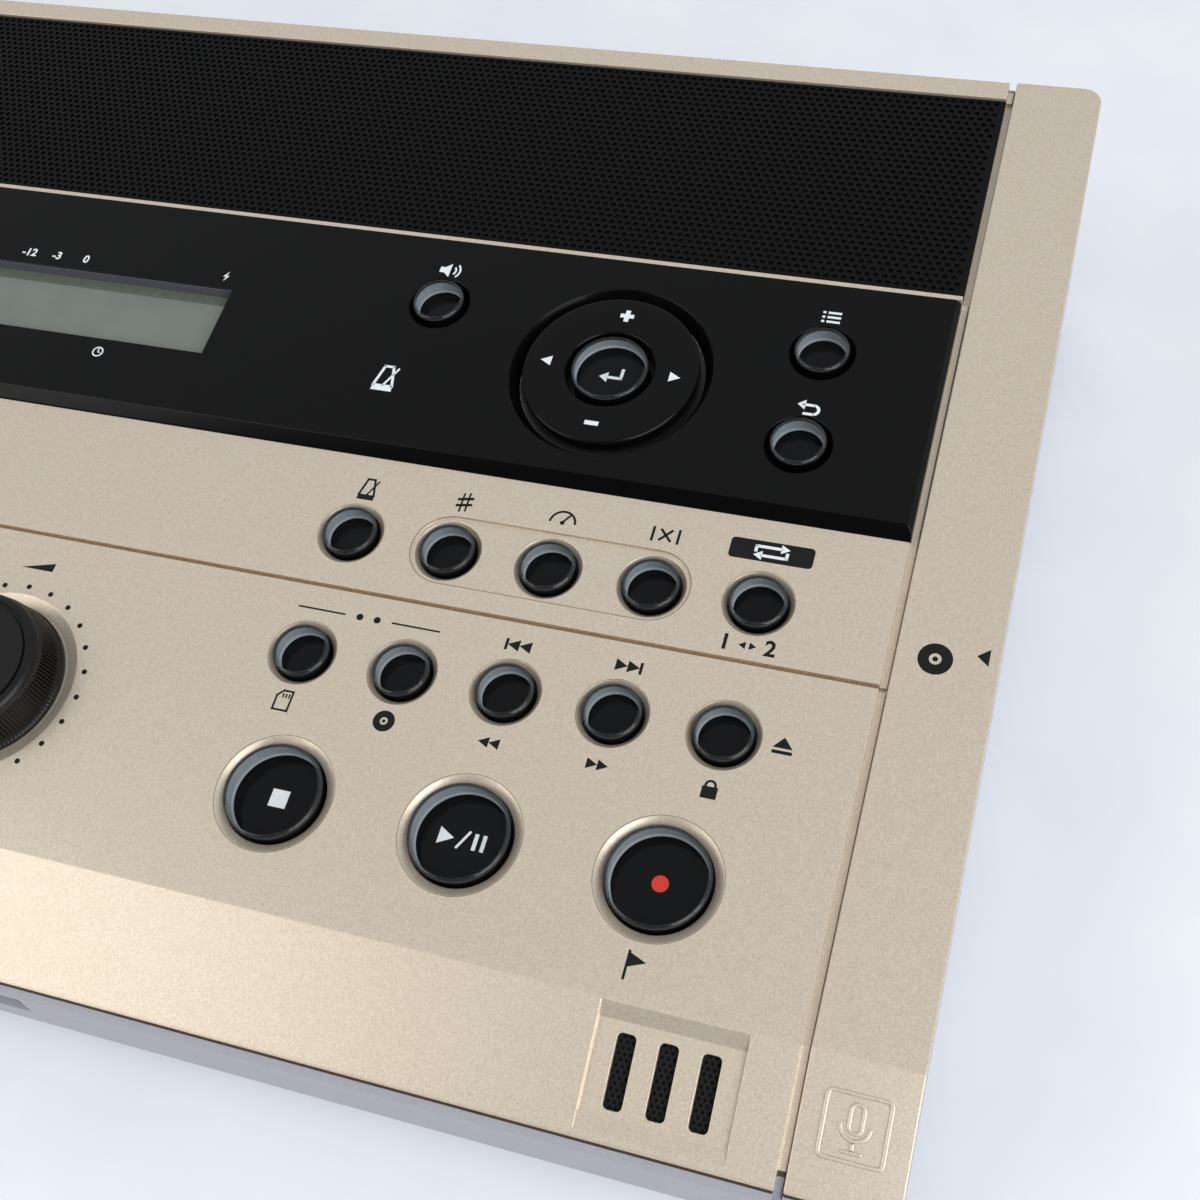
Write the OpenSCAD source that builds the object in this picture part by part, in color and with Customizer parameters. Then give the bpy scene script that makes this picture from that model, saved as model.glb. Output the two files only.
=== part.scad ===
// Portable disc recorder with a slot-loading drive.
// Millimetres. Origin on the table under the centre of the case, +X right, +Y to the rear, +Z up.
// Panel coordinates: v runs from the panel's rear edge towards the user, n is the height above the panel.

/* [Case] */
// Overall width across both end caps
body_w = 346; // [336:1:360]
// Height of the top panel's rear edge above the table
rear_h = 63; // [60:0.5:72]
// Tilt of the top panel towards the user, in degrees
panel_tilt = 6; // [5:0.25:7]
// Flat length of the top panel, from its rear edge to the front crease
flat_len = 214; // [213:0.5:222]
// Length of the sloping nose, measured along the flat panel
nose_len = 23.2; // [22.5:0.1:26]
// Drop of the nose below the flat panel
nose_drop = 5.65; // [5:0.05:7]
// Radius of the nose's front edge
nose_r = 3; // [2.6:0.1:4]
// Height of the upright front face
face_h = 14; // [13.5:0.1:16]
// Wall thickness of every moulded shell
wall = 2; // [1.8:0.1:2.2]
// Set-back of the base under the front face
undercut = 20; // [14:0.5:26]
// Bevel along the base's rear and side edges
base_bevel = 5; // [3:0.5:8]
// Plan radius of the end caps' outer corners
corner_r = 4; // [3:0.5:6]
// Width of each end cap
cap_w = 18.2; // [17:0.1:20]
// Width of the groove between an end cap and the covers
groove_w = 1.5; // [1:0.1:2]
// Depth of that groove
groove_d = 1.2; // [0.8:0.1:1.5]
// Seam between the groove's floor and the end cap
cap_seam = 0.2; // [0.1:0.05:0.3]
// Width of the end cap's ledge that carries the covers
ledge_w = 5.5; // [4:0.1:6]
// Thickness of that ledge
ledge_t = 1.6; // [1.2:0.1:2]
// Height of the feet below the base
foot_h = 4; // [3:0.5:6]
// Radius of a foot
foot_r = 8; // [6:0.5:10]
// Depth of the foot's seat in the base
foot_seat = 0.6; // [0.4:0.1:1]
// Distance of the feet from the case's ends
foot_in = 26; // [22:1:34]
// Radius of a case post
post_r = 4; // [3.5:0.1:4.5]
// Height of a case post above the base's floor
post_h = 8; // [6:0.5:10]
// Radius of a case screw's shank
screw_r = 1.4; // [1.2:0.1:1.6]
// Radius of a case screw's head
screw_head_r = 2.8; // [2.4:0.1:3]
// Height of a case screw's head
screw_head_h = 1.6; // [1.2:0.1:1.7]
// Length of a case screw's shank
screw_l = 18; // [16:0.5:20]
// Clearance of a screw in its seat and its post
screw_fit = 0.2; // [0.1:0.05:0.3]

/* [Panel layout] */
// Rear edge of the grille, from the panel's rear edge
grille_v0 = 5.2; // [4.5:0.1:7]
// Front edge of the grille
grille_v1 = 61.9; // [60:0.1:63]
// Width of the rib between the grille and the display panel
rib_w = 1.4; // [1:0.1:2]
// Front edge of the display panel
disp_v1 = 119.6; // [118:0.1:121]
// Seam between the upper and the front cover, as a share of the way from the display panel to the crease
seam_at = 0.32; // [0.31:0.001:0.33]
// Width of that seam
seam_w = 0.8; // [0.5:0.1:1]
// Clearance of the grille and the display panel in their seats
trim_fit = 0.15; // [0.1:0.05:0.25]

/* [Grille and speakers] */
// Sheet thickness of the grille
grille_t = 0.8; // [0.6:0.1:1]
// Depth of the grille's face below the panel
grille_in = 0.6; // [0.4:0.1:0.8]
// Pitch of the grille's perforations
grille_pitch = 7; // [6.5:0.25:9]
// Radius of a perforation
grille_hole_r = 2.2; // [1.6:0.1:2.4]
// Thickness of the baffle under the grille
baffle_t = 1.8; // [1.6:0.1:2.2]
// Distance of each speaker's middle from the covers' end
speaker_in = 48.3; // [44:0.1:58]
// Radius of the speaker's flange
speaker_r = 26.5; // [24:0.5:27]
// Radius of the opening in front of the speaker's cone
speaker_open_r = 23.5; // [20:0.5:23.5]
// Depth of a speaker below the baffle
speaker_depth = 17.5; // [15:0.5:18]

/* [Display] */
// Height of the display panel above the covers
disp_rise = 2; // [1.6:0.1:2.4]
// Depth of the display panel's seat
disp_seat = 1; // [0.8:0.1:1.1]
// Run of the bevel along the display panel's front edge
disp_bevel = 2.6; // [2:0.1:3.2]
// Bevel at the display panel's ends
disp_end_bevel = 1; // [0.6:0.1:1.4]
// Right edge of the display window
window_x1 = -1.2; // [-3:0.1:0]
// Width of the display window
window_w = 72; // [66:0.5:76]
// Rear edge of the display window
window_v0 = 84.3; // [83:0.1:86]
// Height of the display window
window_h = 17.5; // [16.5:0.1:18.5]
// Border of the display module round its window
module_rim = 5; // [4:0.5:7]
// Thickness of the display glass
glass_t = 1.1; // [0.8:0.1:1.2]
// Thickness of the display module under the glass
module_t = 5; // [4:0.25:5.5]

/* [Buttons] */
// Distance of the rightmost column of small buttons from the end cap
key_in = 26.08; // [25:0.01:28]
// Pitch of the small buttons' columns
key_pitch = 20.53; // [20:0.01:21]
// First row of small buttons, as a share of the way from the display panel to the crease
row1_at = 0.19; // [0.18:0.001:0.2]
// Second row of small buttons, as a share of that way
row2_at = 0.476; // [0.46:0.001:0.485]
// Row of large buttons, as a share of that way
row3_at = 0.773; // [0.76:0.001:0.785]
// Distance of the right large button from the end cap
big_in = 30.7; // [29:0.1:33]
// Pitch of the large buttons
big_pitch = 36.1; // [35:0.1:37]
// Upper row of buttons on the display panel
disp_row1_v = 80.7; // [79:0.1:81.5]
// Lower row of buttons on the display panel
disp_row2_v = 103; // [102:0.1:104]
// Radius of a small button
key_r = 5.5; // [5:0.1:5.8]
// Radius of the dish round a small button
key_dish_r = 6.7; // [6.4:0.1:7]
// Radius of a large button
big_r = 9.3; // [8.8:0.1:9.6]
// Radius of the dish round a large button
big_dish_r = 11.3; // [10.8:0.1:11.8]
// Depth of the dishes
dish_d = 1; // [0.8:0.1:1.2]
// Clearance of a button in its hole
key_fit = 0.3; // [0.2:0.05:0.4]
// Height of a button above the surface round it
key_rise = 1.5; // [1.2:0.1:2]
// Travel of a button
key_travel = 0.8; // [0.6:0.1:0.9]
// Rounding at the edge of a button's top
key_edge = 0.6; // [0.4:0.1:0.8]
// Width of the flange that keeps a button in its hole
key_flange = 1; // [0.8:0.1:1.2]
// Thickness of that flange
key_flange_t = 1; // [0.8:0.1:1.2]
// Gap between that flange and the cover at rest
key_hang = 0.2; // [0.15:0.05:0.3]
// Radius of a button's stem
stem_r = 1.75; // [1.5:0.05:2]
// Gap left between the stem and its switch when pressed
stem_gap = 0.1; // [0.1:0.05:0.2]
// Half height of the recess round the three middle buttons
recess_r = 7.5; // [7.2:0.1:8]
// Depth of that recess
recess_d = 0.5; // [0.3:0.1:0.6]

/* [Cursor pad] */
// Radius of the cursor pad
pad_r = 18.2; // [17.8:0.1:18.6]
// Clearance of the pad in its well's lower edge
pad_fit = 0.8; // [0.7:0.05:0.9]
// Radius of the well round the pad
pad_well_r = 21; // [20.5:0.1:21.5]
// Radius of the hole in the pad
pad_hole_r = 9.1; // [8.8:0.1:9.4]
// Radius of the enter button
enter_r = 7.9; // [7.6:0.1:8.2]
// Middle of the pad, from the panel's rear edge
pad_v = 91.9; // [91.4:0.1:92.4]
// Height of the pad above the display panel
pad_rise = 0.6; // [0.4:0.1:0.8]
// Thickness of the pad's top
pad_t = 2.6; // [2.2:0.1:2.8]
// Radius of the gimbal pins
pin_r = 0.8; // [0.7:0.05:0.9]
// Running clearance of the gimbal pins
pin_fit = 0.05; // [0.03:0.01:0.08]

/* [Knobs] */
// Volume knob, from the middle of the case
volume_x = -15.1; // [-17:0.1:-13]
// Distance of the level knob from the left end cap
level_in = 49.8; // [43:0.1:60]
// Both knobs, as a share of the way from the display panel to the crease
knob_at = 0.672; // [0.65:0.001:0.68]
// Base radius of the volume knob
volume_r = 16.6; // [15:0.1:17]
// Radius of the dish under the volume knob
volume_dish_r = 19.3; // [18.6:0.1:20]
// Base radius of the level knob
level_r = 9.5; // [8.5:0.1:10.5]
// Radius of the dish under the level knob
level_dish_r = 11.5; // [11:0.1:12.5]
// Height of a knob above the panel
knob_h = 8.8; // [8:0.1:12]
// Taper of a knob's side, from its base to its shoulder
knob_taper = 1.6; // [1:0.1:2]
// Rounding of a knob's shoulder
knob_shoulder = 1.6; // [1.2:0.1:2]
// Flutes round the volume knob
knob_flutes = 48; // [36:4:60]
// Radius of a knob's shaft
shaft_r = 3; // [2.5:0.1:3.2]
// Running clearance of that shaft
shaft_fit = 0.05; // [0.03:0.01:0.08]

/* [Microphones] */
// Distance of each microphone recess's middle from its end cap
mic_in = 22.1; // [21:0.1:25]
// Width of a microphone recess
mic_w = 25; // [23:0.5:26]
// Depth of a microphone recess
mic_d = 0.9; // [0.7:0.1:1]
// Pitch of the three slots in a recess
mic_pitch = 7.15; // [6.8:0.05:7.5]
// Width of a slot
mic_slot_w = 3.25; // [3:0.05:3.5]
// Length of a slot
mic_slot_l = 12.2; // [11:0.1:12.6]
// Corner radius of a slot
mic_slot_r = 0.9; // [0.6:0.1:1.2]
// Thickness of the microphone mesh
mesh_t = 0.8; // [0.6:0.1:1]
// Radius of a microphone capsule
capsule_r = 5; // [4:0.25:5.5]
// Height of a microphone capsule
capsule_h = 5; // [4:0.25:6]

/* [Disc drive] */
// Height of the disc's path above the case's split line
disc_up = 4.4; // [4.2:0.1:5]
// Height of the disc slot
slot_h = 5; // [4.6:0.1:5.4]
// Width of the disc slot
slot_w = 125; // [123:0.5:125.5]
// Distance of the disc slot's middle from the front crease
slot_in = 71.5; // [70:0.5:74]
// Side wall of the drive beside the disc slot
drive_side = 1.5; // [1.5:0.1:2.5]
// Depth of the drive, from its slot to its back
drive_w = 132; // [130:0.5:134]
// Depth of the drive below the disc's path
drive_below = 13.5; // [13:0.1:14]
// Height of the drive's walls above the disc's path
drive_above = 4; // [3.6:0.1:4.2]
// Sheet thickness of the drive
sheet = 1.2; // [1:0.1:1.4]
// Gap between the drive's front and the end cap's wall
drive_gap = 5; // [4.5:0.1:6]
// Radius of the spindle motor
motor_r = 13; // [12:0.25:13.5]
// Radius of the turntable
turntable_r = 14; // [13.5:0.25:15]
// Radius of the hub that centres a disc
hub_r = 7.4; // [7.2:0.05:7.45]
// Radius of the sled's guide rods
rod_r = 1.5; // [1.2:0.1:1.8]
// Running clearance of rods, screw and roller
drive_fit = 0.05; // [0.03:0.01:0.08]
// Distance between the two guide rods
rod_span = 38; // [36:0.5:42]
// Length of the sled along its rods
sled_l = 16; // [14:0.5:17]
// Travel of the pickup sled
sled_travel = 33; // [30:0.5:34]
// Radius of the loading roller
roller_r = 3.2; // [2.8:0.1:3.4]
// Thickness of the felt lips at the slot
lip_t = 1.2; // [0.8:0.1:1.4]
// Distance of the lips from the slot's edge
lip_gap = 0.2; // [0.1:0.05:0.3]
// Radius of the feed motor
feed_r = 4; // [3.5:0.1:4.2]
// Length of the feed motor
feed_l = 14; // [12:0.5:15]

/* [Boards and sockets] */
// Depth of the control board's face below the panel
board_n = 10; // [9.6:0.1:10.2]
// Thickness of a circuit board
board_t = 1.6; // [1.2:0.1:1.8]
// Height of a tact switch's body
tact_h = 3.4; // [3:0.1:3.6]
// Width of a tact switch's body
tact_w = 6; // [5.5:0.1:6.2]
// Height of a tact switch's plunger
tact_tip = 0.9; // [0.7:0.1:1]
// Height of the rear sockets' middle above the split line
socket_up = 11; // [10.5:0.1:11.5]
// Bore radius of the headphone and microphone jacks
jack_r = 3.25; // [3.2:0.05:3.35]
// Bore depth of those jacks
jack_depth = 14; // [12:0.5:16]
// Outer radius of a jack's bushing
jack_bush_r = 4.6; // [4.4:0.1:5.2]
// Half height of a jack's body
jack_half = 5.4; // [5.2:0.1:5.5]
// Clearance of sockets in their panel holes
socket_fit = 0.1; // [0.05:0.05:0.2]
// Distance between the two microphone jacks
jack_pitch = 18; // [16:0.5:20]
// Outer radius of a line jack's barrel
line_r = 4.15; // [4.1:0.05:4.2]
// Length of a line jack's barrel
line_l = 8.5; // [8:0.1:9]
// Radius of a line jack's centre hole
line_hole_r = 1.65; // [1.6:0.05:1.7]
// Spacing of the line jacks
line_pitch = 14; // [13.5:0.1:15]
// Height of the bay round the line jacks
bay_h = 15; // [14.5:0.1:16]
// Width of the data socket's shell
data_w = 11.8; // [11.6:0.1:12.2]
// Width of the data socket's opening
data_in_w = 9.2; // [9:0.1:9.4]
// Height of the data socket's opening
data_in_h = 8.4; // [8.2:0.1:8.6]
// Bore radius of the supply jack
supply_r = 2.8; // [2.7:0.05:2.9]
// Radius of the supply jack's pin
supply_pin_r = 1; // [0.9:0.05:1.1]
// Depth of the supply jack's bore
supply_depth = 9.5; // [9:0.1:10]
// Width of the power button
power_w = 9.8; // [9:0.1:10.4]
// Height of the power button
power_h = 5.8; // [5.4:0.1:6.2]
// Width of the slit that takes a memory card
card_slit_w = 24.8; // [24.4:0.1:25.2]
// Height of that slit
card_slit_h = 2.8; // [2.6:0.1:3]
// Length of the card socket
card_socket_l = 28; // [26:0.5:32]
// Width of the recess in front of the card slot
card_w = 32; // [30:0.5:36]
// Height of that recess
card_h = 6; // [5.6:0.1:6.4]
// Depth of that recess behind the front wall
card_d = 5.5; // [5:0.25:6.5]
// Wall of that recess
card_wall = 1.5; // [1.2:0.1:1.8]
// Travel of the power button
power_travel = 2; // [1.5:0.1:2.5]

/* [Hidden] */
$fn = 48;
EPS = 0.02;
FAR = 400;
// Overrun of a cutter past the surface that it opens
OVER = 1;
NOSE_STEPS = 6;
// Smallest radius that is still drawn round
ROUND_MIN = 0.3;

// Case outline
nose_v = flat_len + nose_len;
nose_angle = atan(nose_drop / nose_len);
slope = panel_tilt + nose_angle;
depth = nose_v * cos(panel_tilt) - nose_drop * sin(panel_tilt);
rear_y = depth / 2;
nose_y = -depth / 2;
nose_z = rear_h - nose_v * sin(panel_tilt) - nose_drop * cos(panel_tilt);
split_z = nose_z - face_h;
half_w = body_w / 2;
cap_x = half_w - cap_w;
cover_x = cap_x - groove_w;
flange_x = cap_x - cap_seam;
base_in_z = foot_h + wall;
ledge_x = cap_x - ledge_w;
field_l = flat_len - disp_v1;

// Panel seats
seam_v = disp_v1 + seam_at * field_l;
disp_v0 = grille_v1 + rib_w;
grille_d = grille_in + grille_t;
grille_mid_v = (grille_v0 + grille_v1) / 2;
baffle_n = -grille_d - baffle_t;
speaker_v = grille_mid_v;
speaker_x = cover_x - speaker_in;
cone_d = 9;
dust_r = 5;
dust_rise = 1;
surround_w = 2;
speaker_edge = 1.5;
basket_drop = 1;
magnet_r = 0.55 * speaker_r;
magnet_h = 8;
window_v1 = window_v0 + window_h;
window_x0 = window_x1 - window_w;
glass_n = -disp_seat;
upper_v1 = seam_v - seam_w / 2;
front_v0 = seam_v + seam_w / 2;
tongue_t = 1;
tongue_w = 4;
baffle_v0 = 1.5 * wall;
baffle_over = 1;
baffle_v1 = disp_v0 + baffle_over;

// Buttons and their switches
row1_v = disp_v1 + row1_at * field_l;
row2_v = disp_v1 + row2_at * field_l;
row3_v = disp_v1 + row3_at * field_l;
key_x0 = cap_x - key_in - 4 * key_pitch;
big_x0 = cap_x - big_in - 2 * big_pitch;
tact_n = -board_n + tact_h;
plunger_n = tact_n + tact_tip;
stem_n = plunger_n + key_travel + stem_gap;
flange_n1 = -wall - key_hang;
flange_n0 = flange_n1 - key_flange_t;
key_hole_r = key_r + key_fit;
big_hole_r = big_r + key_fit;
recess_floor = -recess_d;
key_edge_mid = 0.3 * key_edge;
tact_tip_r = 1.6;
pad_x = key_x(2);
small_keys = [
    ["metronome_button", key_x(0), row1_v, 0],
    ["key_button", key_x(1), row1_v, recess_floor],
    ["speed_button", key_x(2), row1_v, recess_floor],
    ["cancel_button", key_x(3), row1_v, recess_floor],
    ["repeat_button", key_x(4), row1_v, 0],
    ["card_button", key_x(0), row2_v, 0],
    ["disc_button", key_x(1), row2_v, 0],
    ["rewind_button", key_x(2), row2_v, 0],
    ["forward_button", key_x(3), row2_v, 0],
    ["eject_button", key_x(4), row2_v, 0],
    ["input_button", -key_x(4), row1_v, 0]
];
display_keys = [
    ["speaker_button", key_x(0), disp_row1_v, disp_rise],
    ["menu_button", key_x(4), disp_row1_v, disp_rise],
    ["exit_button", key_x(4), disp_row2_v, disp_rise]
];
large_keys = [
    ["stop_button", big_x0, row3_v, 0],
    ["play_button", big_x0 + big_pitch, row3_v, 0],
    ["record_button", big_x0 + 2 * big_pitch, row3_v, 0]
];
all_keys = concat(small_keys, display_keys, large_keys);

// Cursor pad and its gimbal
pad_top = disp_rise + pad_rise;
pad_under = pad_top - pad_t;
pad_axis_n = -4;
pad_hole_low_r = pad_r + pad_fit;
enter_lip = 1.7;
tube_in_r = enter_r - enter_lip;
tube_t = 1.2;
tube_r = tube_in_r + tube_t;
tube_top = -2.3;
ring_gap = 0.7;
ring_t = 1.7;
ring_in_r = tube_r + ring_gap;
ring_r = ring_in_r + ring_t;
ring_h = 2.6;
collar_in_r = ring_r + ring_gap;
collar_t = 1.4;
collar_r = collar_in_r + collar_t;
collar_drop = 1.4;
pad_switch_gap = 0.5;
pad_switch_r = collar_r + tact_tip_r + pad_switch_gap;
pad_post_r = 0.9;
pin_in = 0.3;
pin_bite = 0.4;
enter_under = -1;

// Knobs
knob_v = disp_v1 + knob_at * field_l;
level_x = level_in - cap_x;
shaft_end = 2.5;
bush_wall = 1.6;
knob_foot = -dish_d + key_fit;
shaft_n = -board_n + shaft_end;
pot_top_n = -4;
pot_w = 16;
bush_r = shaft_r + bush_wall;
knob_foot_h = 1;
flute_r = 0.45;
flute_up = 1.5;
flute_out = 0.1;

// Microphones, along the nose from the crease
mic_x = cap_x - mic_in;
mic_s0 = 0.3;
mic_back_run = 2.8;
mic_floor_l = 15;
mic_front_run = 3;
mic_slot_shift = 0.4;
mic_s1 = mic_s0 + mic_back_run;
mic_s2 = mic_s1 + mic_floor_l;
mic_s3 = mic_s2 + mic_front_run;
mic_slot_s = (mic_s1 + mic_s2) / 2 + mic_slot_shift;
mesh_in = 1;
mesh_over = 0.5;

// Disc drive
run_gap = 0.3;
disc_z = split_z + disc_up;
slot_v = flat_len - slot_in;
slot_y = rear_y - slot_v * cos(panel_tilt);
drive_d = slot_w + 2 * drive_side;
drive_back_v = slot_v - drive_d / 2;
drive_x1 = half_w - wall - drive_gap;
drive_x0 = drive_x1 - drive_w;
drive_z0 = disc_z - drive_below;
drive_z1 = disc_z + drive_above;
disc_low_z = disc_z - slot_h / 2;
disc_r = 60;
spindle_in = 2;
spindle_x = drive_x1 - disc_r - spindle_in;
floor_z = drive_z0 + sheet;
motor_h = 5.5;
rod_up = 4;
motor_z = floor_z + motor_h;
turntable_z = motor_z + run_gap;
hub_z = disc_low_z - run_gap;
rod_z = floor_z + rod_up;
sled_gap = 3.8;
sled_in = spindle_x - drive_x0 - sheet - sled_l / 2 - sled_travel - sled_gap;
sled_h = 7;
sled_drop = 2.6;
sled_rim = 3.2;
lens_x = 2;
lens_r = 4;
lens_h = 1.2;
lens_taper = 0.8;
screw_out = 8;
bearing_out = 8;
screw_y = rod_span / 2 + screw_out;
bearing_x = spindle_x + bearing_out;
bearing_w = 5;
bearing_half = 3;
feed_foot_in = 2;
spindle_r = 1;
platter_t = 1.6;
hub_root = 0.4;
hub_lip = 0.8;
hub_cone = 1.4;
roller_back = 8;
roller_x = drive_x1 - roller_back;
roller_z = disc_low_z - run_gap - roller_r;
roller_in = 10;
roller_l = slot_w - 2 * roller_in;
roller_shaft_r = 1.5;
roller_shaft_out = 4;
tab_t = 2;
tab_out = 2;
tab_half = 4;
tab_up = 2.5;

// Boards and sockets
board_in = 3;
board_back = 11;
board_front = 10;
board_x = ledge_x - board_in;
board_v0 = disp_v0 + board_back;
board_v1 = flat_len - board_front;
board_gap = 1;
socket_z = split_z + socket_up;
jack_back = 1.5;
phones_up = 6.2;
phones_z = split_z + phones_up;
main_z = socket_z - jack_half;
main_front = 30;
main_side = 4;
main_y0 = nose_y + undercut + main_front;
main_x0 = -board_x;
main_x1 = drive_x0 - main_side;
rear_in_y = rear_y - wall;
mic_jack_in = 39.8;
line_in = 97.8;
mic_jack_x = mic_jack_in - cap_x;
line_x0 = line_in - cap_x;
bay_side = 2;
bay_w = 4 * line_pitch + 2 * bay_side;
bay_x0 = line_x0 - bay_w / 2;
bay_x1 = line_x0 + bay_w / 2;
line_sunk = 0.5;
bay_d = line_l + line_sunk;
bay_wall = 1.5;
data_x = 8;
line_step = 0.75;
line_stem_r = line_r - line_step;
line_xs = [for (i = [-1.5:1.5]) line_x0 + i * line_pitch];
mic_jack_xs = [mic_jack_x - jack_pitch / 2, mic_jack_x + jack_pitch / 2];
supply_wall = 1.1;
supply_bush_r = supply_r + supply_wall;
supply_in = 114.8;
power_side = 92.8;
phones_in = 34.8;
supply_x = cap_x - supply_in;
power_x = cap_x - power_side;
phones_x = phones_in - cap_x;
line_tail = 2;
line_floor = 0.5;
supply_half = 4.5;
supply_back = 4.5;
power_room = 6;
power_in = wall + power_room;
power_wall = 2;
power_back = 8;
data_mouth = 9;
data_l = 16;
data_tongue_w = 0.6 * data_in_w;
data_tongue_h = 0.38 * data_in_h;
data_tongue_in = 0.6;
face_mid_z = split_z + face_h / 2;
card_up = 1;
card_z = face_mid_z + card_up;
card_side = 34;
card_x = drive_x0 - card_side;

// Case posts, bosses and feet
rear_post_in = 94.8;
rear_post_x = cap_x - rear_post_in;
post_to_window = 10;
post_to_drive = 9.2;
rear_post_v = min(window_v0 - module_rim - post_to_window, drive_back_v - post_to_drive);
front_post_side = 25;
front_post_in = 4.5;
front_post_v = flat_len - front_post_in;
rear_posts = [[-rear_post_x, rear_post_v], [rear_post_x, rear_post_v]];
front_posts = [[card_x - front_post_side, front_post_v], [card_x + front_post_side, front_post_v]];
post_top = base_in_z + post_h;
boss_r = 3.2;
pilot_r = 1.2;
pilot_floor = 1;
drive_post_back = 8;
drive_post_front = 14;
drive_post_xs = [drive_x0 + drive_post_back, drive_x1 - drive_post_front];
drive_post_in = 8;
board_post_in = 8;
board_post_front = 47.655;
board_post_rear = 30;
board_post_xs = [main_x0 + board_post_in, main_x1 - board_post_in];
board_post_ys = [main_y0 + board_post_front, rear_y - board_post_rear];
foot_lip = 2;
foot_round = 0.8;
foot_fit = 0.3;
boss_in = 5;
boss_back = 4;
boss_x = board_x - boss_in;
upper_boss_x = (window_x1 + module_rim + key_x0) / 2;
front_boss_x = (volume_x + big_x0) / 2;
upper_bosses = [for (x = [-boss_x, upper_boss_x, boss_x]) [x, board_v0 + boss_back]];
front_bosses = [for (x = [-boss_x, front_boss_x, boss_x]) [x, board_v1 - boss_in]];
foot_front = 12;
foot_rear = 8;
foot_y = [nose_y + undercut + foot_r + foot_front, rear_y - base_bevel - foot_r - foot_rear];

function key_x(column) = key_x0 + column * key_pitch;
function panel_pt(v, n) = [
    rear_y - v * cos(panel_tilt) - n * sin(panel_tilt),
    rear_h - v * sin(panel_tilt) + n * cos(panel_tilt)
];
// Corner points of the upper case's outline, moved inwards by d
function crease_pt(d) = panel_pt(flat_len - d * tan(nose_angle / 2), -d);
function nose_corner(d) = [nose_y + d, nose_z + d * tan(slope) - d / cos(slope)];
function nose_arc(d) = nose_r - d < ROUND_MIN ? [nose_corner(d)] : let(
    centre_y = nose_y + nose_r,
    centre_z = nose_z - nose_r * (1 - sin(slope)) / cos(slope)
) [for (i = [0:NOSE_STEPS]) let(a = 90 + slope + i * (90 - slope) / NOSE_STEPS)
    [centre_y + (nose_r - d) * cos(a), centre_z + (nose_r - d) * sin(a)]];
// Everything above the panel and the nose, moved inwards by d and run out past the front face
function above_outline(d) = let(
    arc = nose_arc(d),
    last = arc[NOSE_STEPS],
    before = arc[NOSE_STEPS - 1]
) concat([[rear_y + FAR, rear_h + FAR], panel_pt(-FAR, -d), crease_pt(d)],
    [for (i = [0:NOSE_STEPS - 1]) arc[i]],
    [last + FAR / 20 * (last - before), [nose_y - FAR, rear_h + FAR]]);
function reversed(list) = [for (i = [len(list) - 1:-1:0]) list[i]];
// Skin between the insets d0 and d1, from v down the front face to the split line
function front_skin(v, d0, d1) = concat(
    [panel_pt(v, -d0), crease_pt(d0)], nose_arc(d0), [[nose_y + d0, split_z], [nose_y + d1, split_z]],
    reversed(nose_arc(d1)), [crease_pt(d1), panel_pt(v, -d1)]);

// Placing and shared shapes

// Moves children from panel coordinates, with v pointing along -Y, into the case
module on_panel() {
    translate([0, rear_y, rear_h]) rotate([panel_tilt, 0, 0]) children();
}
// Moves children onto the sloping nose, with Y = 0 at the crease
module on_nose() {
    translate([0, crease_pt(0)[0], crease_pt(0)[1]]) rotate([slope, 0, 0]) children();
}
module panel_box(x0, x1, v0, v1, n0, n1) {
    translate([x0, -v1, n0]) cube([x1 - x0, v1 - v0, n1 - n0]);
}
module box(x0, x1, y0, y1, z0, z1) {
    translate([x0, y0, z0]) cube([x1 - x0, y1 - y0, z1 - z0]);
}
// Extrudes a (Y, Z) outline along X
module prism_x(x0, x1) {
    translate([x0, 0, 0]) rotate([90, 0, 90]) linear_extrude(x1 - x0) children();
}
module round_along_x(x0, x1, r) {
    translate([x0, 0, 0]) rotate([0, 90, 0]) cylinder(r = r, h = x1 - x0);
}
module round_along_y(y0, y1, r) {
    translate([0, y0, 0]) rotate([-90, 0, 0]) cylinder(r = r, h = y1 - y0);
}
module both_sides() {
    children();
    mirror([1, 0, 0]) children();
}
// Cuts away everything above the covers' underside, lowered by gap
module below_covers(gap) {
    difference() {
        children();
        on_panel() panel_box(-FAR, FAR, -FAR, FAR, -wall - gap, FAR);
    }
}
// Plan of the case with round outer corners, moved inwards by d
module case_plan(d) {
    r = max(corner_r - d, ROUND_MIN);
    w = 2 * (half_w - d);
    l = depth - 2 * d;
    square([w - 2 * r, l], center = true);
    square([w, l - 2 * r], center = true);
    for (x = [-1, 1], y = [-1, 1]) translate([x * (w / 2 - r), y * (l / 2 - r)]) circle(r);
}
// Hole and dish round a button, at the surface height n
module key_cut(key, dish_r, hole_r) {
    translate([key[1], -key[2], key[3]]) {
        translate([0, 0, -dish_d]) cylinder(h = dish_d + EPS, r1 = hole_r, r2 = dish_r);
        translate([0, 0, -FAR]) cylinder(h = FAR, r = hole_r);
    }
}
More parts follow.
